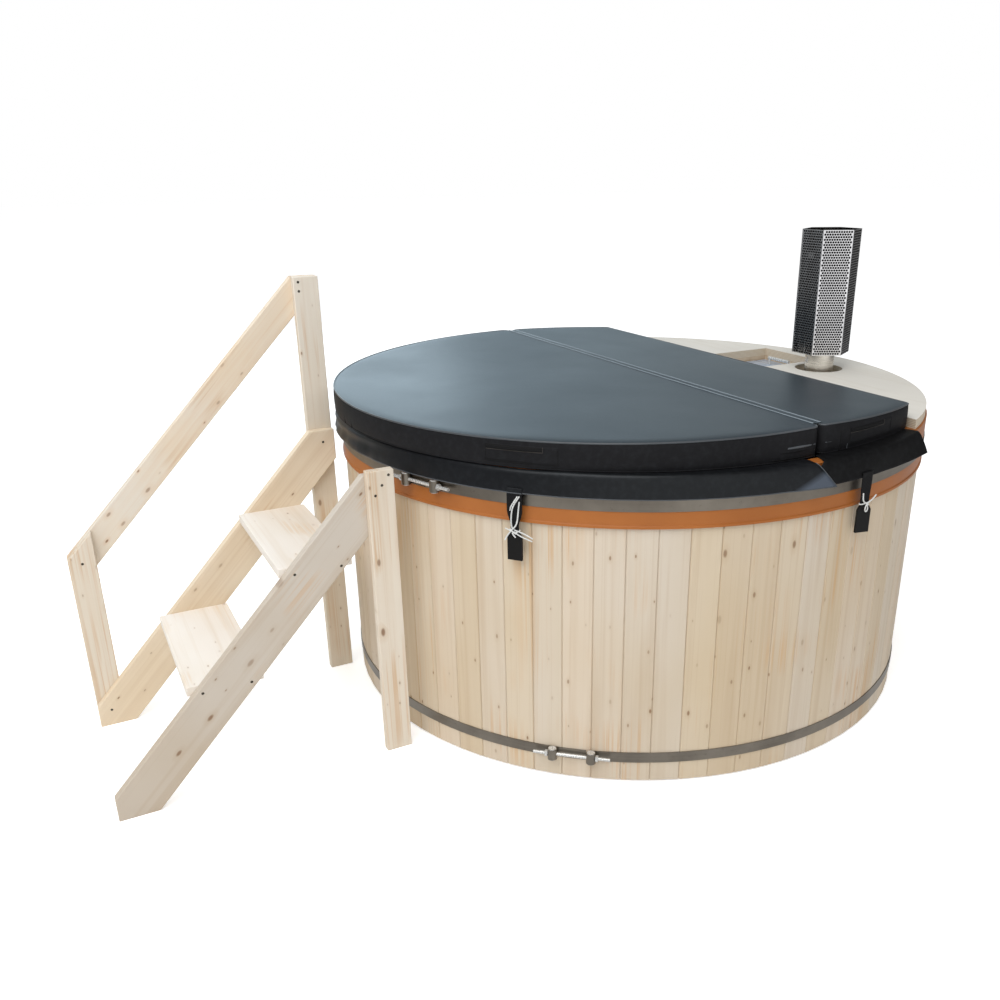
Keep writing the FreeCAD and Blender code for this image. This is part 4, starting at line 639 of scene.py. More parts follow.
# The skirt's last colour is the painted sheen on its bent-out flaps.
skirt_vinyl = vinyl("skirt_vinyl", (18, 19, 21), (23, 24, 27), 0.36, 0.26, (0.9, 0.96, 1.0, 1), (74, 81, 92))
rear_vinyl = vinyl("rear_skirt_vinyl", (17, 17, 18), (21, 21, 22), 0.5, 0.10)
webbing = weave("black_webbing", (10, 10, 11), (26, 26, 28), 0.012)
tab_plastic = plastic("tab_plastic", (13, 12, 12), (19, 18, 18), 0.42, level=0.22)
white_string = string_finish("white_string")
screw_steel = metal("screw_steel", (60, 56, 50), (104, 98, 88), 0.45, (300, 300, 300))
drain_brass = metal("drain_brass", (164, 128, 70), (206, 172, 104), 0.3, (120, 120, 120))
drain_plastic = plastic("drain_plastic", (88, 92, 96), (112, 116, 120), 0.45)
lever_paint = plastic("lever_paint", (150, 34, 28), (178, 46, 36), 0.4, coat=0.4)

NODE_FINISH = {name: finish for finish, names in (
    (staves_wood, "wall_staves"),
    (inner_wood, "bench_slats fence_slats deck_beam"),
    (bearer_wood, "bench_supports fence_posts floor_bearers"),
    (deck_ply, "floor_panel stove_deck"),
    (frame_wood, "hatch_frame"),
    (liner_plastic, "liner_shell"),
    (hoop_steel, "lower_hoop upper_hoop"),
    (tension_steel, "hoop_barrels hoop_rods hoop_nuts lid_handle lid_hinge_pin drain_strainer"),
    (stove_steel, "stove_firebox stove_top stove_throat air_damper"),
    (lid_steel_painted_reflection, "stove_lid"),
    (grate_iron, "stove_grate"),
    (flue_steel, "flue_pipe"),
    (guard_steel, "guard_clips heat_guard"),
    (screw_steel, "stair_screws"),
    (drain_brass, "drain_valve"),
    (drain_plastic, "drain_pipe"),
    (lever_paint, "drain_lever"),
    (near_wood_painted_shade, "near_stringer"),
    (far_wood, "far_stringer"),
    (upright_wood, "near_post rail_post low_post"),
    (rail_wood, "handrail"),
    (tread_wood_painted_light, "lower_tread upper_tread"),
) for name in names.split()}


def dress_nodes():
    for name, finish in NODE_FINISH.items():
        mesh = nodes[name].data
        mesh.materials.clear()
        dress(mesh, finish)


dress_nodes()

# ---------------------------------------------------------------- mesh helpers


def piece(name, data, finishes, body, replaced=()):
    """A new object of the model with its finishes, riding on a CAD body."""
    item = link(name, data)
    dress(data, *finishes)
    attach(item, body)
    if replaced:
        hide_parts(*replaced)
    return item


def mesh_of(name, points, faces):
    mesh = bpy.data.meshes.new(name)
    mesh.from_pydata(points, [], faces)
    mesh.update()
    mesh.shade_smooth()
    mesh.set_sharp_from_angle(angle=SMOOTH_ANGLE)
    return mesh


def thicken(item, thickness):
    shell = item.modifiers.new("thickness", "SOLIDIFY")
    shell.thickness = thickness
    shell.offset = 0.0
    return shell


def ring_faces(rows, count, closed=True):
    """Quads between rows of count points each."""
    faces = []
    for row in range(rows - 1):
        low, high = row * count, (row + 1) * count
        for spot in range(count if closed else count - 1):
            after = (spot + 1) % count
            faces.append((low + spot, low + after, high + after, high + spot))
    return faces


def shares(count):
    return [step / count for step in range(count + 1)]


def between(first, last, share):
    return first + (last - first) * share


def grid(firsts, seconds, spot, turned=False):
    """Points and faces of a surface over two lists of values."""
    points = [spot(first, second) for first in firsts for second in seconds]
    faces = ring_faces(len(firsts), len(seconds), False)
    return points, [face[::-1] for face in faces] if turned else faces


def tube_form(path, radius, closed=False, sides=8):
    """Points and faces of a tube along a path, with one radius or one for each point."""
    spots = [Vector(p) for p in path]
    total = len(spots)
    radii = radius if hasattr(radius, "__len__") else [radius] * total
    points = []
    side = None
    for index, spot in enumerate(spots):
        before = spots[(index - 1) % total] if closed or index else spot
        after = spots[(index + 1) % total] if closed or index < total - 1 else spot
        ahead = (after - before).normalized()
        if side is None:
            guess = Vector((0, 0, 1)) if abs(ahead.z) < 0.9 else Vector((1, 0, 0))
            side = ahead.cross(guess).normalized()
        side = (side - ahead * side.dot(ahead)).normalized()
        other = ahead.cross(side)
        for step in range(sides):
            turn = 2 * math.pi * step / sides
            points.append(spot + (side * math.cos(turn) + other * math.sin(turn)) * radii[index])
    faces = ring_faces(total, sides)
    if closed:
        start = (total - 1) * sides
        for step in range(sides):
            after = (step + 1) % sides
            faces.append((start + step, start + after, after, step))
    else:
        faces.append(tuple(range(sides))[::-1])
        faces.append(tuple(range((total - 1) * sides, total * sides)))
    return points, faces


def joined(name, forms):
    """One mesh of several forms, each with its points and faces and the number of its finish."""
    points = []
    faces = []
    numbers = []
    for (spots, corners), number in forms:
        base = len(points)
        points.extend(spots)
        faces.extend(tuple(base + corner for corner in face) for face in corners)
        numbers.extend([number] * len(corners))
    mesh = mesh_of(name, points, faces)
    for face, number in zip(mesh.polygons, numbers):
        face.material_index = number
    return mesh


def tube_mesh(name, path, radius, closed=False, sides=8):
    return mesh_of(name, *tube_form(path, radius, closed, sides))


def curved(spots, steps=6):
    """A smooth line through some points."""
    ends = [spots[0] * 2 - spots[1], *spots, spots[-1] * 2 - spots[-2]]
    line = []
    for before, first, last, after in zip(ends, ends[1:], ends[2:], ends[3:]):
        for step in range(steps):
            t = step / steps
            square = 2 * before - 5 * first + 4 * last - after
            cube = 3 * first - before - 3 * last + after
            line.append(0.5 * (2 * first + (last - before) * t + square * t * t + cube * t ** 3))
    return line + [spots[-1]]


def round_spot(angle, radius, height, centre=(0, 0)):
    turn = math.radians(angle)
    return Vector((centre[0] + radius * math.cos(turn), centre[1] + radius * math.sin(turn), height))


def strap_spot(angle, out, along, height):
    """A point by a strap: out from the tub's axis, along the strap's face, and its height."""
    turn = math.radians(angle)
    return Vector((
        out * math.cos(turn) - along * math.sin(turn),
        out * math.sin(turn) + along * math.cos(turn),
        height,
    ))


# ---------------------------------------------------------------- string ties


def by_strap(strap, route):
    """A route's points in the part's frame."""
    angle, neck, _ = STRAPS[strap]
    face = STRAP_MIDDLE + STRAP_THICK / 2
    return [strap_spot(angle, face + out, along, neck + up) for out, along, up in route]


def knot(name, routes, strap):
    """The turns and short ends of a knot in the string round a strap's neck."""
    forms = [(tube_form(curved(by_strap(strap, route)), STRING_RADIUS * 0.9), 0) for route in routes]
    return piece(name, joined(name, forms), (white_string,), f"strap_{strap}")


def cord(name, route, strap, node):
    """A tie of string: its route's points are the control points of one NURBS line."""
    spots = by_strap(strap, route)
    curve = bpy.data.curves.new(name, "CURVE")
    curve.dimensions = "3D"
    line = curve.splines.new("NURBS")
    line.points.add(len(spots) - 1)
    for point, spot in zip(line.points, spots):
        point.co = (*spot, 1)
    line.order_u = 3
    line.use_endpoint_u = True
    line.resolution_u = 6
    curve.bevel_depth = STRING_RADIUS
    curve.bevel_resolution = 3
    curve.use_fill_caps = True
    item = piece(name, curve, (white_string,), f"strap_{strap}", (node,))


front_knot = knot("front_knot", FRONT_KNOT, "front_right")
rear_knot = knot("rear_knot", REAR_KNOT, "rear_right")
cord("front_string", FRONT_TIE, "front_right", "tie_front")
cord("front_string_tail", FRONT_TAIL, "front_right", "tie_front_tail")
cord("rear_string", REAR_TIE, "rear_right", "tie_rear")

# ---------------------------------------------------------------- cover panels


def band_outline(round_edge, low, high, corner, step=0.02):
    """Points and outward directions round a panel's circle between two lines, from its right side."""
    level, radius = round_edge
    inner = radius - corner
    top = math.degrees(math.asin((high - corner - level) / inner))
    bottom = -90 if low is None else math.degrees(math.asin((low + corner - level) / inner))
    marks = []

    def arc(first, last, centre, reach, smallest):
        count = max(smallest, int(reach * math.radians(abs(last - first)) / step))
        for share in shares(count):
            away = round_spot(between(first, last, share), 1, 0)
            marks.append((Vector((centre[0], centre[1], 0)) + away * reach, away))

    def straight(first, last, line, away):
        count = max(2, int(abs(last - first) / step))
        for share in shares(count)[1:-1]:
            marks.append((Vector((between(first, last, share), line, 0)), away))

    middle = (0, level)
    upper = round_spot(top, inner, 0, middle)
    arc(bottom, top, middle, radius, 12)
    arc(top, 90, upper, corner, 5)
    straight(upper.x, -upper.x, high, Vector((0, 1, 0)))
    arc(90, 180 - top, (-upper.x, upper.y), corner, 5)
    arc(180 - top, 180 - bottom, middle, radius, 12)
    if low is not None:
        lower = round_spot(bottom, inner, 0, middle)
        arc(180 - bottom, 270, (-lower.x, lower.y), corner, 5)
        straight(-lower.x, lower.x, low, Vector((0, -1, 0)))
        arc(270, 360 + bottom, lower, corner, 5)
    kept = []
    for spot, away in marks:
        if not kept or (spot - kept[-1][0]).length > SAME_SPOT:
            kept.append((spot, away))
    if (kept[0][0] - kept[-1][0]).length < SAME_SPOT:
        kept.pop()
    return kept


def cover_top(y, front):
    """Height of a panel's plain top, falling from the fold to its outer edge."""
    if front:
        share = (FOLD_Y - PANEL_GAP - y) / (FOLD_Y - PANEL_GAP - COVER_FRONT)
    else:
        share = (y - FOLD_Y - PANEL_GAP) / (COVER_BACK - FOLD_Y - PANEL_GAP)
    return COVER_RIDGE - (COVER_RIDGE - COVER_EDGE) * share


def panel_mesh(name, outline, front):
    """A foam panel in its sleeve, and how far each point may fill out: none at foot and sewn edge."""
    count = len(outline)
    middle = sum((spot for spot, _ in outline), Vector()) / count
    points = []
    caps = []

    def ring(inset, lift, from_top, cap, share=1.0):
        for spot, away in outline:
            place = spot - away * inset
            place = middle + (place - middle) * share
            plain = cover_top(place.y, front)
            off = abs(place.y - FOLD_Y)
            caps.append(min(cap, FOLD_CAP * off) if from_top else cap)
            if from_top:
                near = (spot - away * inset - place).length
                ripple = noise.noise(Vector((place.x * 2.3, place.y * 2.9, 3.0 if front else 8.0)))
                ripple = ripple + 0.5 * noise.noise(Vector((place.x * 7, place.y * 7, 5.0)))
                place.z = plain + lift + TOP_RIPPLE * ripple * min(1.0, near / RIPPLE_EDGE, off / FOLD_CALM)
            else:
                place.z = COVER_BASE + (plain - COVER_BASE) * lift
            points.append(place)

    for inset, lift, free in SIDE_RINGS:
        ring(inset, lift, False, SIDE_CAP * free)
    for inset, lift, free in TOP_RINGS:
        ring(inset, lift, True, PAD_CAP * free)
    for share in TOP_SHARES:
        ring(TOP_RINGS[-1][0], 0.0, True, PAD_CAP, share)
    rows = len(SIDE_RINGS) + len(TOP_RINGS) + len(TOP_SHARES)
    faces = ring_faces(rows, count)
    points.append(Vector((middle.x, middle.y, cover_top(middle.y, front))))
    points.append(Vector((middle.x, middle.y, COVER_BASE)))
    caps.extend([min(PAD_CAP, FOLD_CAP * abs(middle.y - FOLD_Y)), 0.0])
    for spot in range(count):
        after = (spot + 1) % count
        faces.append(((rows - 1) * count + spot, (rows - 1) * count + after, len(points) - 2))
        faces.append((after, spot, len(points) - 1))
    mesh = mesh_of(name, points, faces)
    for face in mesh.polygons:
        foot = min(mesh.vertices[index].co.z for index in face.vertices)
        face.material_index = 0 if face.normal.z > 0.55 and foot > COVER_BASE + 0.05 else 1
    return mesh, caps


def settle(pad, caps):
    """Fills a pad out under cloth pressure between its sewn edges, each point by its cap at most."""
    mesh = pad.data
    plain = [point.co.copy() for point in mesh.vertices]
    sewn = pad.vertex_groups.new(name="sewn")
    sewn.add([index for index, cap in enumerate(caps) if not cap], 1.0, "REPLACE")
    cloth = pad.modifiers.new("cloth", "CLOTH")
    cloth.settings.use_pressure = True
    cloth.settings.uniform_pressure_force = PAD_PRESSURE
    cloth.settings.effector_weights.gravity = 0
    cloth.settings.vertex_group_mass = "sewn"
    cloth.point_cache.frame_start = 1
    cloth.point_cache.frame_end = PAD_FRAMES
    for step in range(1, PAD_FRAMES + 1):
        scene.frame_set(step)
    filled = pad.evaluated_get(bpy.context.evaluated_depsgraph_get()).data
    moves = [point.co - place for point, place in zip(filled.vertices, plain)]
    pad.modifiers.remove(cloth)
    pad.vertex_groups.remove(sewn)
    for point, place, move, cap in zip(mesh.vertices, plain, moves, caps):
        if cap and move.length:
            point.co = place + move * (cap * math.tanh(move.length / cap) / move.length)
    scene.frame_set(1)


FRONT_OUTLINE = band_outline(FRONT_ROUND, None, FOLD_Y - PANEL_GAP, PANEL_CORNERS["front"])
REAR_OUTLINE = band_outline(REAR_ROUND, FOLD_Y + PANEL_GAP, COVER_BACK, PANEL_CORNERS["rear"])


def side_roll(part, first, last, low, high, radius):
    """A slim roll on a panel's side, tapered to both ends."""
    level, reach = ROUNDS[part]
    path = []
    radii = []
    for share in shares(16):
        height = between(low, high, share)
        path.append(round_spot(between(first, last, share), reach - ROLL_SUNK, height, (0, level)))
        radii.append(radius * (0.35 + 0.65 * math.sin(math.pi * min(1.0, 0.12 + share)) ** 0.5))
    return tube_form(path, radii)


def cover_panels():
    for part, outline, front in (("front", FRONT_OUTLINE, True), ("rear", REAR_OUTLINE, False)):
        body = f"cover_{part}"
        mesh, caps = panel_mesh(f"{body}_pad", outline, front)
        pad = piece(f"{body}_pad", mesh, (top_vinyl, side_vinyl), body, (f"{body}_panel",))
        settle(pad, caps)
        edge = []
        foot = []
        for spot, away in outline:
            place = spot - away * PIPING_INSET
            sunk = FOLD_DROP * bell((place.y - FOLD_Y) / FOLD_DROP_REACH)
            edge.append((place.x, place.y, cover_top(place.y, front) - PIPING_DROP - sunk))
            low = spot - away * FOOT_INSET
            foot.append((low.x, low.y, COVER_BASE + FOOT_RISE))
        welt = tube_mesh(f"{body}_piping", edge, PIPING_RADIUS, True)
        piece(f"{body}_piping", welt, (highlight_vinyl,), body)
        forms = [(tube_form(foot, FOOT_RADIUS, True, 6), 0)]
        for angle, radius, number in SIDE_SEAMS[part]:
            ends = (COVER_BASE + SEAM_ENDS, COVER_EDGE - SEAM_ENDS)
            upright = side_roll(part, angle, angle, *ends, radius)
            forms.append((upright, number))
        for index, (first, last, level, radius) in enumerate(TUCKS[part]):
            # The first roll gets the paler vinyl: a painted highlight along it.
            number = 1 if index == 0 else 2
            forms.append((side_roll(part, first, last, level, level, radius), number))
            forms.append((side_roll(part, 180 - first, 180 - last, level, level, radius), number))
        seams = joined(f"{body}_side_seams", forms)
        piece(f"{body}_side_seams", seams, (side_vinyl, highlight_vinyl, rear_vinyl), body)


cover_panels()


def fold_strip():
    """The narrow strip that joins the panels over the fold, with a roll along each side and a groove. Its
    rolls carry a painted sheen in paler vinyl.
    """
    half = math.sqrt((REAR_ROUND[1] - STRIP_INSET) ** 2 - (FOLD_Y - REAR_ROUND[0]) ** 2)
    across = [-off for off in STRIP_SIDE[::-1]] + [0.0] + STRIP_SIDE

    def spot(share, off):
        x = between(-half, half, share)
        far = abs(off)
        plain = COVER_RIDGE - far * STRIP_FALL + STRIP_LIFT
        roll = ROLL_HEIGHT * bell((far - STRIP_ROLL) / ROLL_WIDTH)
        dip = -GROOVE_DEPTH * bell(off / GROOVE_WIDTH)
        ripple = STRIP_RIPPLE * noise.noise(Vector((x * 14, off * 60, 1.0)))
        edge = -TURNED_DOWN if far > TURNED_FROM else 0.0
        return Vector((x, FOLD_Y + off, plain + roll + dip + ripple + edge))

    mesh = mesh_of("fold_strip", *grid(shares(STRIP_STEPS), across, spot, True))
    dress(mesh, top_vinyl, fold_sheen_vinyl)
    # The faces over each roll get the paler vinyl: painted sheen.
    for face in mesh.polygons:
        face.material_index = 1 if STRIP_SHEEN[0] < abs(face.center.y - FOLD_Y) < STRIP_SHEEN[1] else 0
    strip = link("fold_strip", mesh)
    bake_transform(strip)
    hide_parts("cover_welt")


fold_strip()

# ---------------------------------------------------------------- skirts


def panel_reach(angle, round_edge):
    """How far a panel's round edge is from the tub's axis, at an angle round it."""
    turn = math.radians(angle)
    level, radius = round_edge
    return level * math.sin(turn) + math.sqrt(radius ** 2 - (level * math.cos(turn)) ** 2)


def hem_slack(angle):
    """How far the hem stands off its plain circle: creases at the front and slack waves."""
    reach = 0.0
    for index in range(3):
        middle = CREASE_ANGLE + 360 + (2 * index - 2) * CREASE_STEP
        reach -= CREASE_DEPTH * bell((angle % 360 - middle) / CREASE_WIDTH)
    slack = noise.noise(Vector((math.radians(angle % 360) * 5.0, 2.0, 0.0)))
    slack = slack + 0.4 * noise.noise(Vector((math.radians(angle % 360) * 17.0, 7.0, 0.0)))
    quiet = 1.0
    for strap, _, _ in STRAPS.values():
        near = (angle - strap + 180) % 360 - 180
        quiet *= 1 - bell(near / STRAP_CALM)
    return reach + HEM_SLACK * slack * quiet


def trimmed(kind, drop):
    """How far short of its hem corner a skirt's end stops, at a share of its drop; below 0 is on the rim."""
    if kind == "flap":
        return SPLIT_SLANT * (1 - max(0.0, drop))
    if kind == "under":
        for (low, first), (high, last) in zip(UNDER_TRIM, UNDER_TRIM[1:]):
            if drop <= high:
                return between(first, last, (drop - low) / (high - low))
    return 0.0


def corner_out(kind, away, drop):
    """How far a skirt stands out near its end: a flap bent out past a crease, or a wing that flares."""
    if kind == "flap":
        past = drop - away / FLAP_REACH
        return FLAP_OUT * (past + math.sqrt(past * past + 0.006)) / 2 if past > -1 else 0.0
    if kind == "wing":
        turn = math.degrees(away / SKIRT_RADIUS)
        return WING_FLARE * drop * (1 - turn / WING_ANGLE) ** 1.7 if turn < WING_ANGLE else 0.0
    return 0.0


def skirt_piece(name, body, node, round_edge, first, last, kinds, finish, edge_finish):
    """A flap of vinyl that lies on the rim beside a panel, turns down and hangs to its hem."""
    count = int(abs(last - first) / SKIRT_STEP) + 1
    rows = len(SKIRT_ROWS)
    fold = SKIRT_ROWS.index(0.0)
    length = math.radians(abs(last - first)) * SKIRT_RADIUS

    def spot(share, drop):
        place = along = length * share
        for kind, away, way in ((kinds[0], along, 1), (kinds[1], length - along, -1)):
            if away < TRIM_REACH:
                place += way * trimmed(kind, drop) * (1 - away / TRIM_REACH) ** 2
        angle = first + math.degrees(place / SKIRT_RADIUS)
        edge = panel_reach(angle, round_edge)
        lowered = min(1.0, max(0.0, (edge - LOWERED[0]) / LOWERED[1]))
        start = edge + SKIRT_GAP
        if start >= RIM_FLAT:
            start = max(RIM_EDGE, min(RIM_TURN, edge - SKIRT_TUCK))
        height = SKIRT_TOP - LOWERED[2] * lowered
        turn_at = max(start, RIM_TURN)
        if drop < -1:
            return round_spot(angle, start - SKIRT_LIP * (1 - lowered), height)
        if drop < 0:
            height += RIM_LIFT * (1 + drop) * (1 - lowered)
            return round_spot(angle, between(start, turn_at, 1 + drop), height)
        out = sum(corner_out(kind, abs(away - trimmed(kind, drop)), drop)
                  for kind, away in ((kinds[0], place), (kinds[1], length - place)))
        low = SKIRT_HEM + HEM_LIFT[0] * max(0.0, out - HEM_LIFT[1])
        bow = SKIRT_BOW * (1 - math.exp(-drop / BOW_SHARE))
        reach = turn_at + RIM_GAP + bow + (SKIRT_RADIUS + hem_slack(angle) - turn_at - SKIRT_BOW) * drop + out
        far = (angle % 360 - SAG_ANGLE) / SAG_WIDTH
        sag = SAG_DEPTH * bell(far) * math.sin(8.5 * drop + 1.6 * far - 1.2)
        reach += sag * min(1.0, 4 * drop) * (1 - drop ** 4)
        crease = SKIRT_RIPPLE * noise.noise(Vector((math.radians(angle) * 30, drop * 2.5, 4.0)))
        return round_spot(angle, reach + crease * drop, between(height, low, drop ** HANG_CURVE))

    points, faces = grid(shares(count), SKIRT_ROWS, spot)
    mesh = mesh_of(name, points, faces)
    flap = piece(name, mesh, (finish,), body, (node,))
    thicken(flap, SKIRT_THICK)
    start_edge = points[fold:rows]
    end_edge = points[count * rows + fold:]
    hem = [points[index * rows + rows - 1] for index in range(1, count)]
    binding = tube_mesh(f"{name}_binding", start_edge + hem + end_edge[::-1], HEM_PIPING, False, 6)
    edging = piece(f"{name}_binding", binding, (edge_finish,), body)


def skirts():
    ends = (FOLD_Y - SPLIT_HEM, FOLD_Y - UNDERLAP, COVER_BACK)
    front_end, rear_start, rear_end = (math.degrees(math.asin(end / SKIRT_RADIUS)) for end in ends)
    skirt_piece("front_skirt", "cover_front", "cover_front_skirt", FRONT_ROUND,
                180 - front_end, 360 + front_end, ("flap", "flap"), skirt_vinyl, highlight_vinyl)
    skirt_piece("rear_skirt_right", "cover_rear", "cover_rear_skirt", REAR_ROUND,
                rear_start, rear_end, ("under", "wing"), rear_vinyl, side_vinyl)
    skirt_piece("rear_skirt_left", "cover_rear", "cover_rear_skirt", REAR_ROUND,
                180 - rear_end, 180 - rear_start, ("wing", "under"), rear_vinyl, side_vinyl)


skirts()

# ---------------------------------------------------------------- grips, straps and tabs


def grip(name, body, round_edge, middle, way):
    """A handle on a panel's side: a sewn patch, and a strap along its top that stands off in the middle."""
    level, radius = round_edge

    def spot(share, rise, out):
        turn = middle + way * GRIP_SWEEP * (share - 0.5)
        return round_spot(turn, radius + out, GRIP_LOW + GRIP_HEIGHT * rise, (0, level))

    def patch(share, rise):
        rim = min(share * 4, (1 - share) * 4, rise, 1 - rise)
        return spot(share, rise, between(GRIP_PATCH, GRIP_FACE, min(1.0, rim / GRIP_EDGE)))

    def strap(share, rise):
        foot, sewn, free = GRIP_OUT
        off = abs(rise - GRIP_STRAP[0]) / GRIP_STRAP[1]
        full = math.sin(math.pi * min(1.0, max(0.0, (share - GRIP_FREE[0]) / GRIP_FREE[1]))) ** 0.6
        return spot(share, rise, foot + (sewn + free * full) * max(0.0, 1 - off ** 4))

    along = [0.0, 0.006, 0.012] + [0.04 * step for step in range(1, 25)] + [0.988, 0.994, 1.0]
    up = [0.0, 0.02, 0.04, 0.2, 0.4, 0.6, 0.8, 0.96, 0.98, 1.0]
    forms = [(grid(along, up, patch, way < 0), 0)]
    along = [between(0.02, 0.78, share) for share in shares(24)]
    up = [between(0.69, 0.95, share) for share in shares(10)]
    forms.append((grid(along, up, strap, way < 0), 1))
    for first, last, low, high, steps, number in GRIP_SEAMS:
        line = [spot(between(first, last, share), between(low, high, share), GRIP_FACE)
                for share in shares(steps)]
        forms.append((tube_form(line, GRIP_SEAM, False, 6), number))
    piece(name, joined(name, forms), (side_vinyl, webbing, grip_edge), body, (f"{body}_grips",))


def grips():
    for part, round_edge in ROUNDS.items():
        angle = GRIP_ANGLES[part]
        grip(f"{part}_grip_right", f"cover_{part}", round_edge, angle, 1)
        grip(f"{part}_grip_left", f"cover_{part}", round_edge, 180 - angle, -1)


grips()


def strap_half(up, drawn):
    """Half the width of a strap at a height above its tab's neck."""
    if up >= DRAWN_LENGTH:
        return STRAP_WIDTH / 2
    share = min(1.0, max(0.0, (up - DRAWN_LENGTH / 4) / (0.75 * DRAWN_LENGTH)))
    share = share * share * (3 - 2 * share)
    return (drawn + (STRAP_WIDTH - drawn) * share) / 2


def strap_tape(name, angle, neck, drawn):
    """A strap's tape, gathered in pleats towards its tab. The front ones show the seam they hang from."""
    def spot(row, column):
        up = (STRAP_TOP - neck) * row
        half = strap_half(up, drawn)
        gather = 1 - half / (STRAP_WIDTH / 2)
        side = 2 * column - 1
        pleat = PLEAT_DEPTH * gather * (1 - math.cos(side * 3 * math.pi)) / 2
        return strap_spot(angle, STRAP_MIDDLE - pleat, side * half, neck + up)

    front = name.startswith("front")
    body = f"strap_{name}"
    mesh = mesh_of(f"strap_tape_{name}", *grid(shares(STRAP_ROWS), shares(STRAP_COLUMNS), spot, True))
    for face in mesh.polygons:
        face.material_index = 1 if face.center.z > SKIRT_HEM else 0
    finishes = (webbing, skirt_vinyl if front else rear_vinyl)
    tape = piece(f"strap_tape_{name}", mesh, finishes, body, (body,))
    thicken(tape, STRAP_THICK)
    if front:
        face = STRAP_MIDDLE + STRAP_THICK / 2
        sewn = [strap_spot(angle, face, STRAP_WIDTH * (share - 0.5), SKIRT_HEM) for share in shares(8)]
        line = tube_mesh(f"strap_seam_{name}", sewn, HEM_PIPING, False, 6)
        piece(f"strap_seam_{name}", line, (highlight_vinyl,), body)


def straps():
    for name, sizes in STRAPS.items():
        strap_tape(name, *sizes)


straps()


def clean_copy(node):
    """A CAD node's mesh as a bmesh whose flat faces are whole again."""
    work = bmesh.new()
    work.from_mesh(nodes[node].data)
    bmesh.ops.remove_doubles(work, verts=work.verts, dist=0.00002)
    bmesh.ops.dissolve_limit(work, angle_limit=math.radians(1), verts=work.verts, edges=work.edges)
    return work


def eased(node, name, finish, body, slot, width, shortest):
    """A copy of a CAD node with its long edges rounded over, as planed wood or moulded plastic has."""
    work = clean_copy(node)
    edges = [edge for edge in work.edges if len(edge.link_faces) == 2
             and edge.calc_face_angle() > SHARP_ANGLE and edge.calc_length() > shortest]
    for face in work.faces:
        face.smooth = False
    rolled = bmesh.ops.bevel(work, geom=edges, offset=width, segments=3, profile=0.5, affect="EDGES",
                             clamp_overlap=True)
    for face in rolled["faces"]:
        face.smooth = True
    mesh = bpy.data.meshes.new(name)
    work.to_mesh(mesh)
    work.free()
    piece(name, mesh, (finish,), body, (node,))


def boards():
    for node in ("near_stringer", "far_stringer", "near_post", "rail_post", "low_post", "handrail",
                 "lower_tread", "upper_tread"):
        eased(node, f"{node}_board", NODE_FINISH[node], "stairs", "stair_spruce", *EASED_WOOD)
    for name in STRAPS:
        eased(f"tab_{name}", f"lock_tab_{name}", tab_plastic, f"strap_{name}", "tab_plastic", *EASED_TAB)


boards()

# ---------------------------------------------------------------- chimney guard


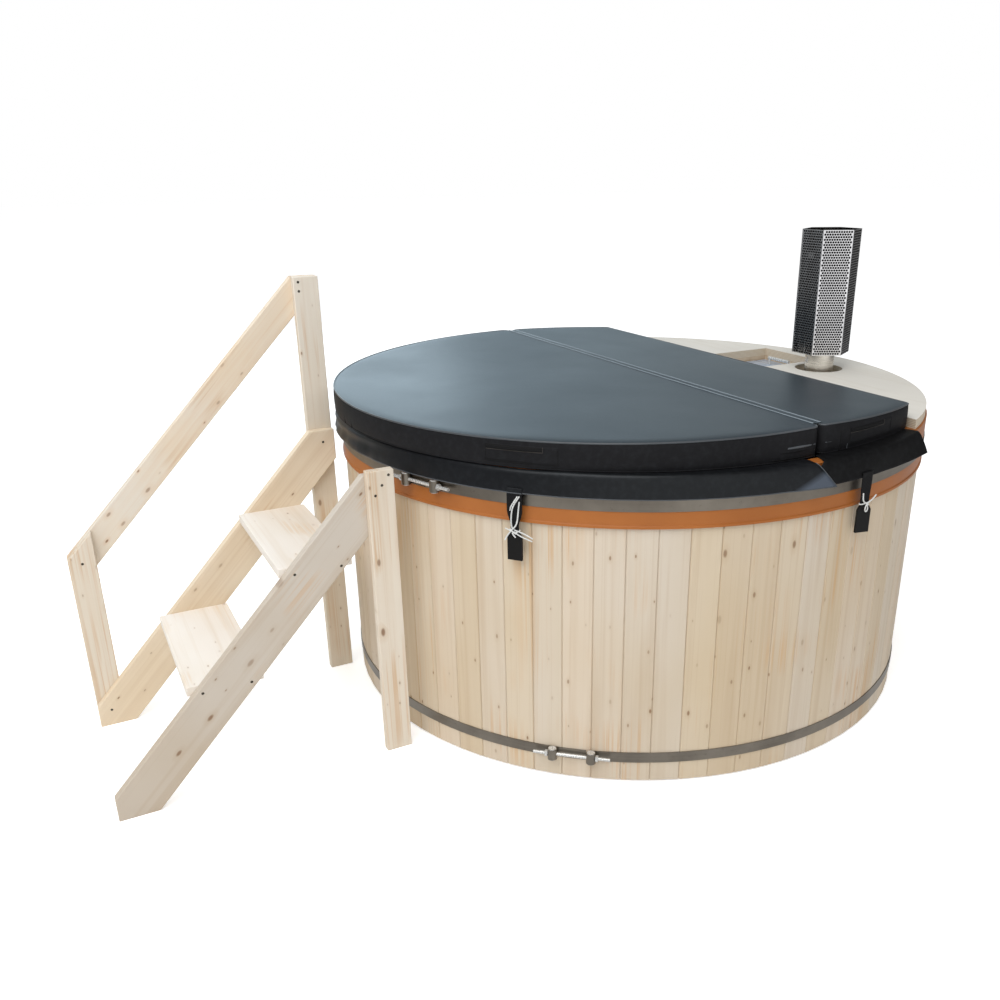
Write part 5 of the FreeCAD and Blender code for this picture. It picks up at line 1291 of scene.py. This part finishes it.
def guard():
    """The perforated hexagon round the chimney, with each hole cut through its sheet. Its inner side and hole
    walls are painted dark, and a dark sheet stands inside it: painted shade within the guard.
    """
    rise = (GUARD_HIGH - GUARD_LOW - 2 * GUARD_BORDER) / HOLE_ROWS
    flat = GUARD_FLATS / 2 - GUARD_SHEET / 2
    half = flat / math.sqrt(3)
    pitch = (2 * half - 2 * GUARD_BORDER) / (HOLES_ACROSS + 0.5)
    points = []
    faces = []
    for face in range(6):
        middle = math.radians(30 + 60 * face)
        out = Vector((math.cos(middle), math.sin(middle), 0))
        along = Vector((-math.sin(middle), math.cos(middle), 0))
        base = Vector((*GUARD_AXIS, 0)) + out * flat

        def spot(across, height):
            points.append(base + along * across + Vector((0, 0, height)))
            return len(points) - 1

        for row in range(HOLE_ROWS):
            low = GUARD_LOW + GUARD_BORDER + rise * row
            left_edge = spot(-half, low), spot(-half, low + rise)
            right_edge = spot(half, low), spot(half, low + rise)
            start = -half + GUARD_BORDER + (0.5 * pitch if row % 2 else 0.0)
            lines = []
            for column in range(HOLES_ACROSS + 1):
                x = start + pitch * column
                lines.append((spot(x, low), spot(x, low + rise)))
            faces.append((left_edge[0], lines[0][0], lines[0][1], left_edge[1]))
            faces.append((lines[-1][0], right_edge[0], right_edge[1], lines[-1][1]))
            for column in range(HOLES_ACROSS):
                first, second = lines[column], lines[column + 1]
                x = start + pitch * (column + 0.5)
                hole = []
                for step in range(HOLE_SIDES):
                    turn = 2 * math.pi * (step + 0.5) / HOLE_SIDES - 3 * math.pi / 4
                    hole.append(spot(x + HOLE_RADIUS * math.cos(turn),
                                     low + rise / 2 + HOLE_RADIUS * math.sin(turn)))
                cell = (first[0], second[0], second[1], first[1])
                quarter = HOLE_SIDES // 4
                for part in range(4):
                    begin = part * quarter
                    arc = [hole[(begin + step - 1) % HOLE_SIDES] for step in range(quarter + 1)]
                    faces.append((cell[part], cell[(part + 1) % 4], *arc[::-1]))
        for low, high in ((GUARD_LOW, GUARD_LOW + GUARD_BORDER), (GUARD_HIGH - GUARD_BORDER, GUARD_HIGH)):
            faces.append((spot(-half, low), spot(half, low), spot(half, high), spot(-half, high)))
    perforated = len(faces)
    # A dark sheet just inside the guard, where there is only shade.
    inner = (GUARD_FLATS / 2 - SHADE_SHEET_IN) * 2 / math.sqrt(3)
    for step in range(6):
        for height in (GUARD_LOW + GUARD_BORDER, GUARD_HIGH - GUARD_BORDER):
            points.append(round_spot(60 * step, inner, height, GUARD_AXIS))
    first = len(points) - 12
    for step in range(6):
        left = first + 2 * step
        right = first + 2 * ((step + 1) % 6)
        faces.append((left, right, right + 1, left + 1))
    mesh = mesh_of("guard_sheet", points, faces)
    mesh.shade_flat()
    for face in mesh.polygons[perforated:]:
        face.material_index = 1
    sheet = piece("guard_sheet", mesh, (guard_steel, guard_inside), "tub", ("heat_guard",))
    shell = thicken(sheet, GUARD_SHEET)
    shell.material_offset = 1
    shell.material_offset_rim = 1


guard()

# ---------------------------------------------------------------- stage and light


def floor():
    """A wide pale floor with the tub's soft shadow. Reflections alone show it plain near, graded far off."""
    corners = [(x * FLOOR_HALF, y * FLOOR_HALF, 0) for x, y in ((-1, -1), (1, -1), (1, 1), (-1, 1))]
    mesh = mesh_of("floor", corners, [(0, 1, 2, 3)])
    look = Finish("floor_pale", Roughness=0.9)
    look.set("Specular IOR Level", 0.0)
    look.set("Base Color", look.mix(look.noise(look.place, 0.4), srgb(248, 248, 248), srgb(252, 252, 252)))
    rays = look.node("ShaderNodeLightPath").outputs
    seen = look.math("MAXIMUM", rays["Is Camera Ray"], rays["Is Transmission Ray"])
    look.set("Emission Color", WHITE)
    look.set("Emission Strength", look.math("MULTIPLY", seen, FLOOR_GLOW))
    graded = look.graded(look.vector("NORMALIZE", look.place, "Vector"), FAR_FLOOR)
    reach = {"Value": look.vector("LENGTH", look.place, "Value"), "From Min": FLOOR_REACH[0],
             "From Max": FLOOR_REACH[1]}
    far = look.node("ShaderNodeMapRange", reach).outputs["Result"]
    level = look.mix(far, (NEAR_FLOOR, NEAR_FLOOR, NEAR_FLOOR, 1), graded)
    mirrored = look.node("ShaderNodeEmission", {"Color": level}).outputs[0]
    surface = look.shader_mix(rays["Is Glossy Ray"], look.shader.outputs[0], mirrored)
    look.feed(look.tree.nodes["Material Output"].inputs["Surface"], surface)
    dress(mesh, look.material)
    item = link("floor", mesh)


def softbox(name, place, target, width, height, power, colour=(1, 1, 1)):
    light = bpy.data.lights.new(name, "AREA")
    light.color = colour
    light.shape = "RECTANGLE"
    light.size = width
    light.size_y = height
    light.energy = power
    item = link(name, light)
    item.location = place
    item.rotation_euler = (Vector(target) - Vector(place)).to_track_quat("-Z", "Y").to_euler()


def world():
    """Even studio light before a white backdrop. Reflections alone show it graded along the bright way."""
    item = bpy.data.worlds.new("studio")
    item.use_nodes = True
    item.node_tree.nodes.clear()
    sky = Nodes(item.node_tree)

    def backdrop(colour, strength=1.0):
        return sky.node("ShaderNodeBackground", {"Color": colour, "Strength": strength}).outputs[0]

    rays = sky.node("ShaderNodeLightPath").outputs
    mirrored = backdrop(sky.graded(sky.node("ShaderNodeTexCoord").outputs["Generated"], BACKDROP))
    shiny = sky.math("MAXIMUM", rays["Is Glossy Ray"], rays["Is Transmission Ray"])
    unseen = sky.shader_mix(shiny, backdrop(WHITE, WORLD_LIGHT), mirrored)
    surface = sky.shader_mix(rays["Is Camera Ray"], unseen, backdrop(WHITE))
    sky.node("ShaderNodeOutputWorld", {"Surface": surface})
    scene.world = item


floor()
world()
softbox("key", (3.2, -4.2, 7.0), (0, 0, 0.6), 6.0, 6.0, 400)
softbox("side", (-7.5, -0.4, 3.4), (0, 0, 0.9), 6.0, 4.0, 115, (0.74, 0.90, 1.0))
scene.view_settings.view_transform = "Standard"
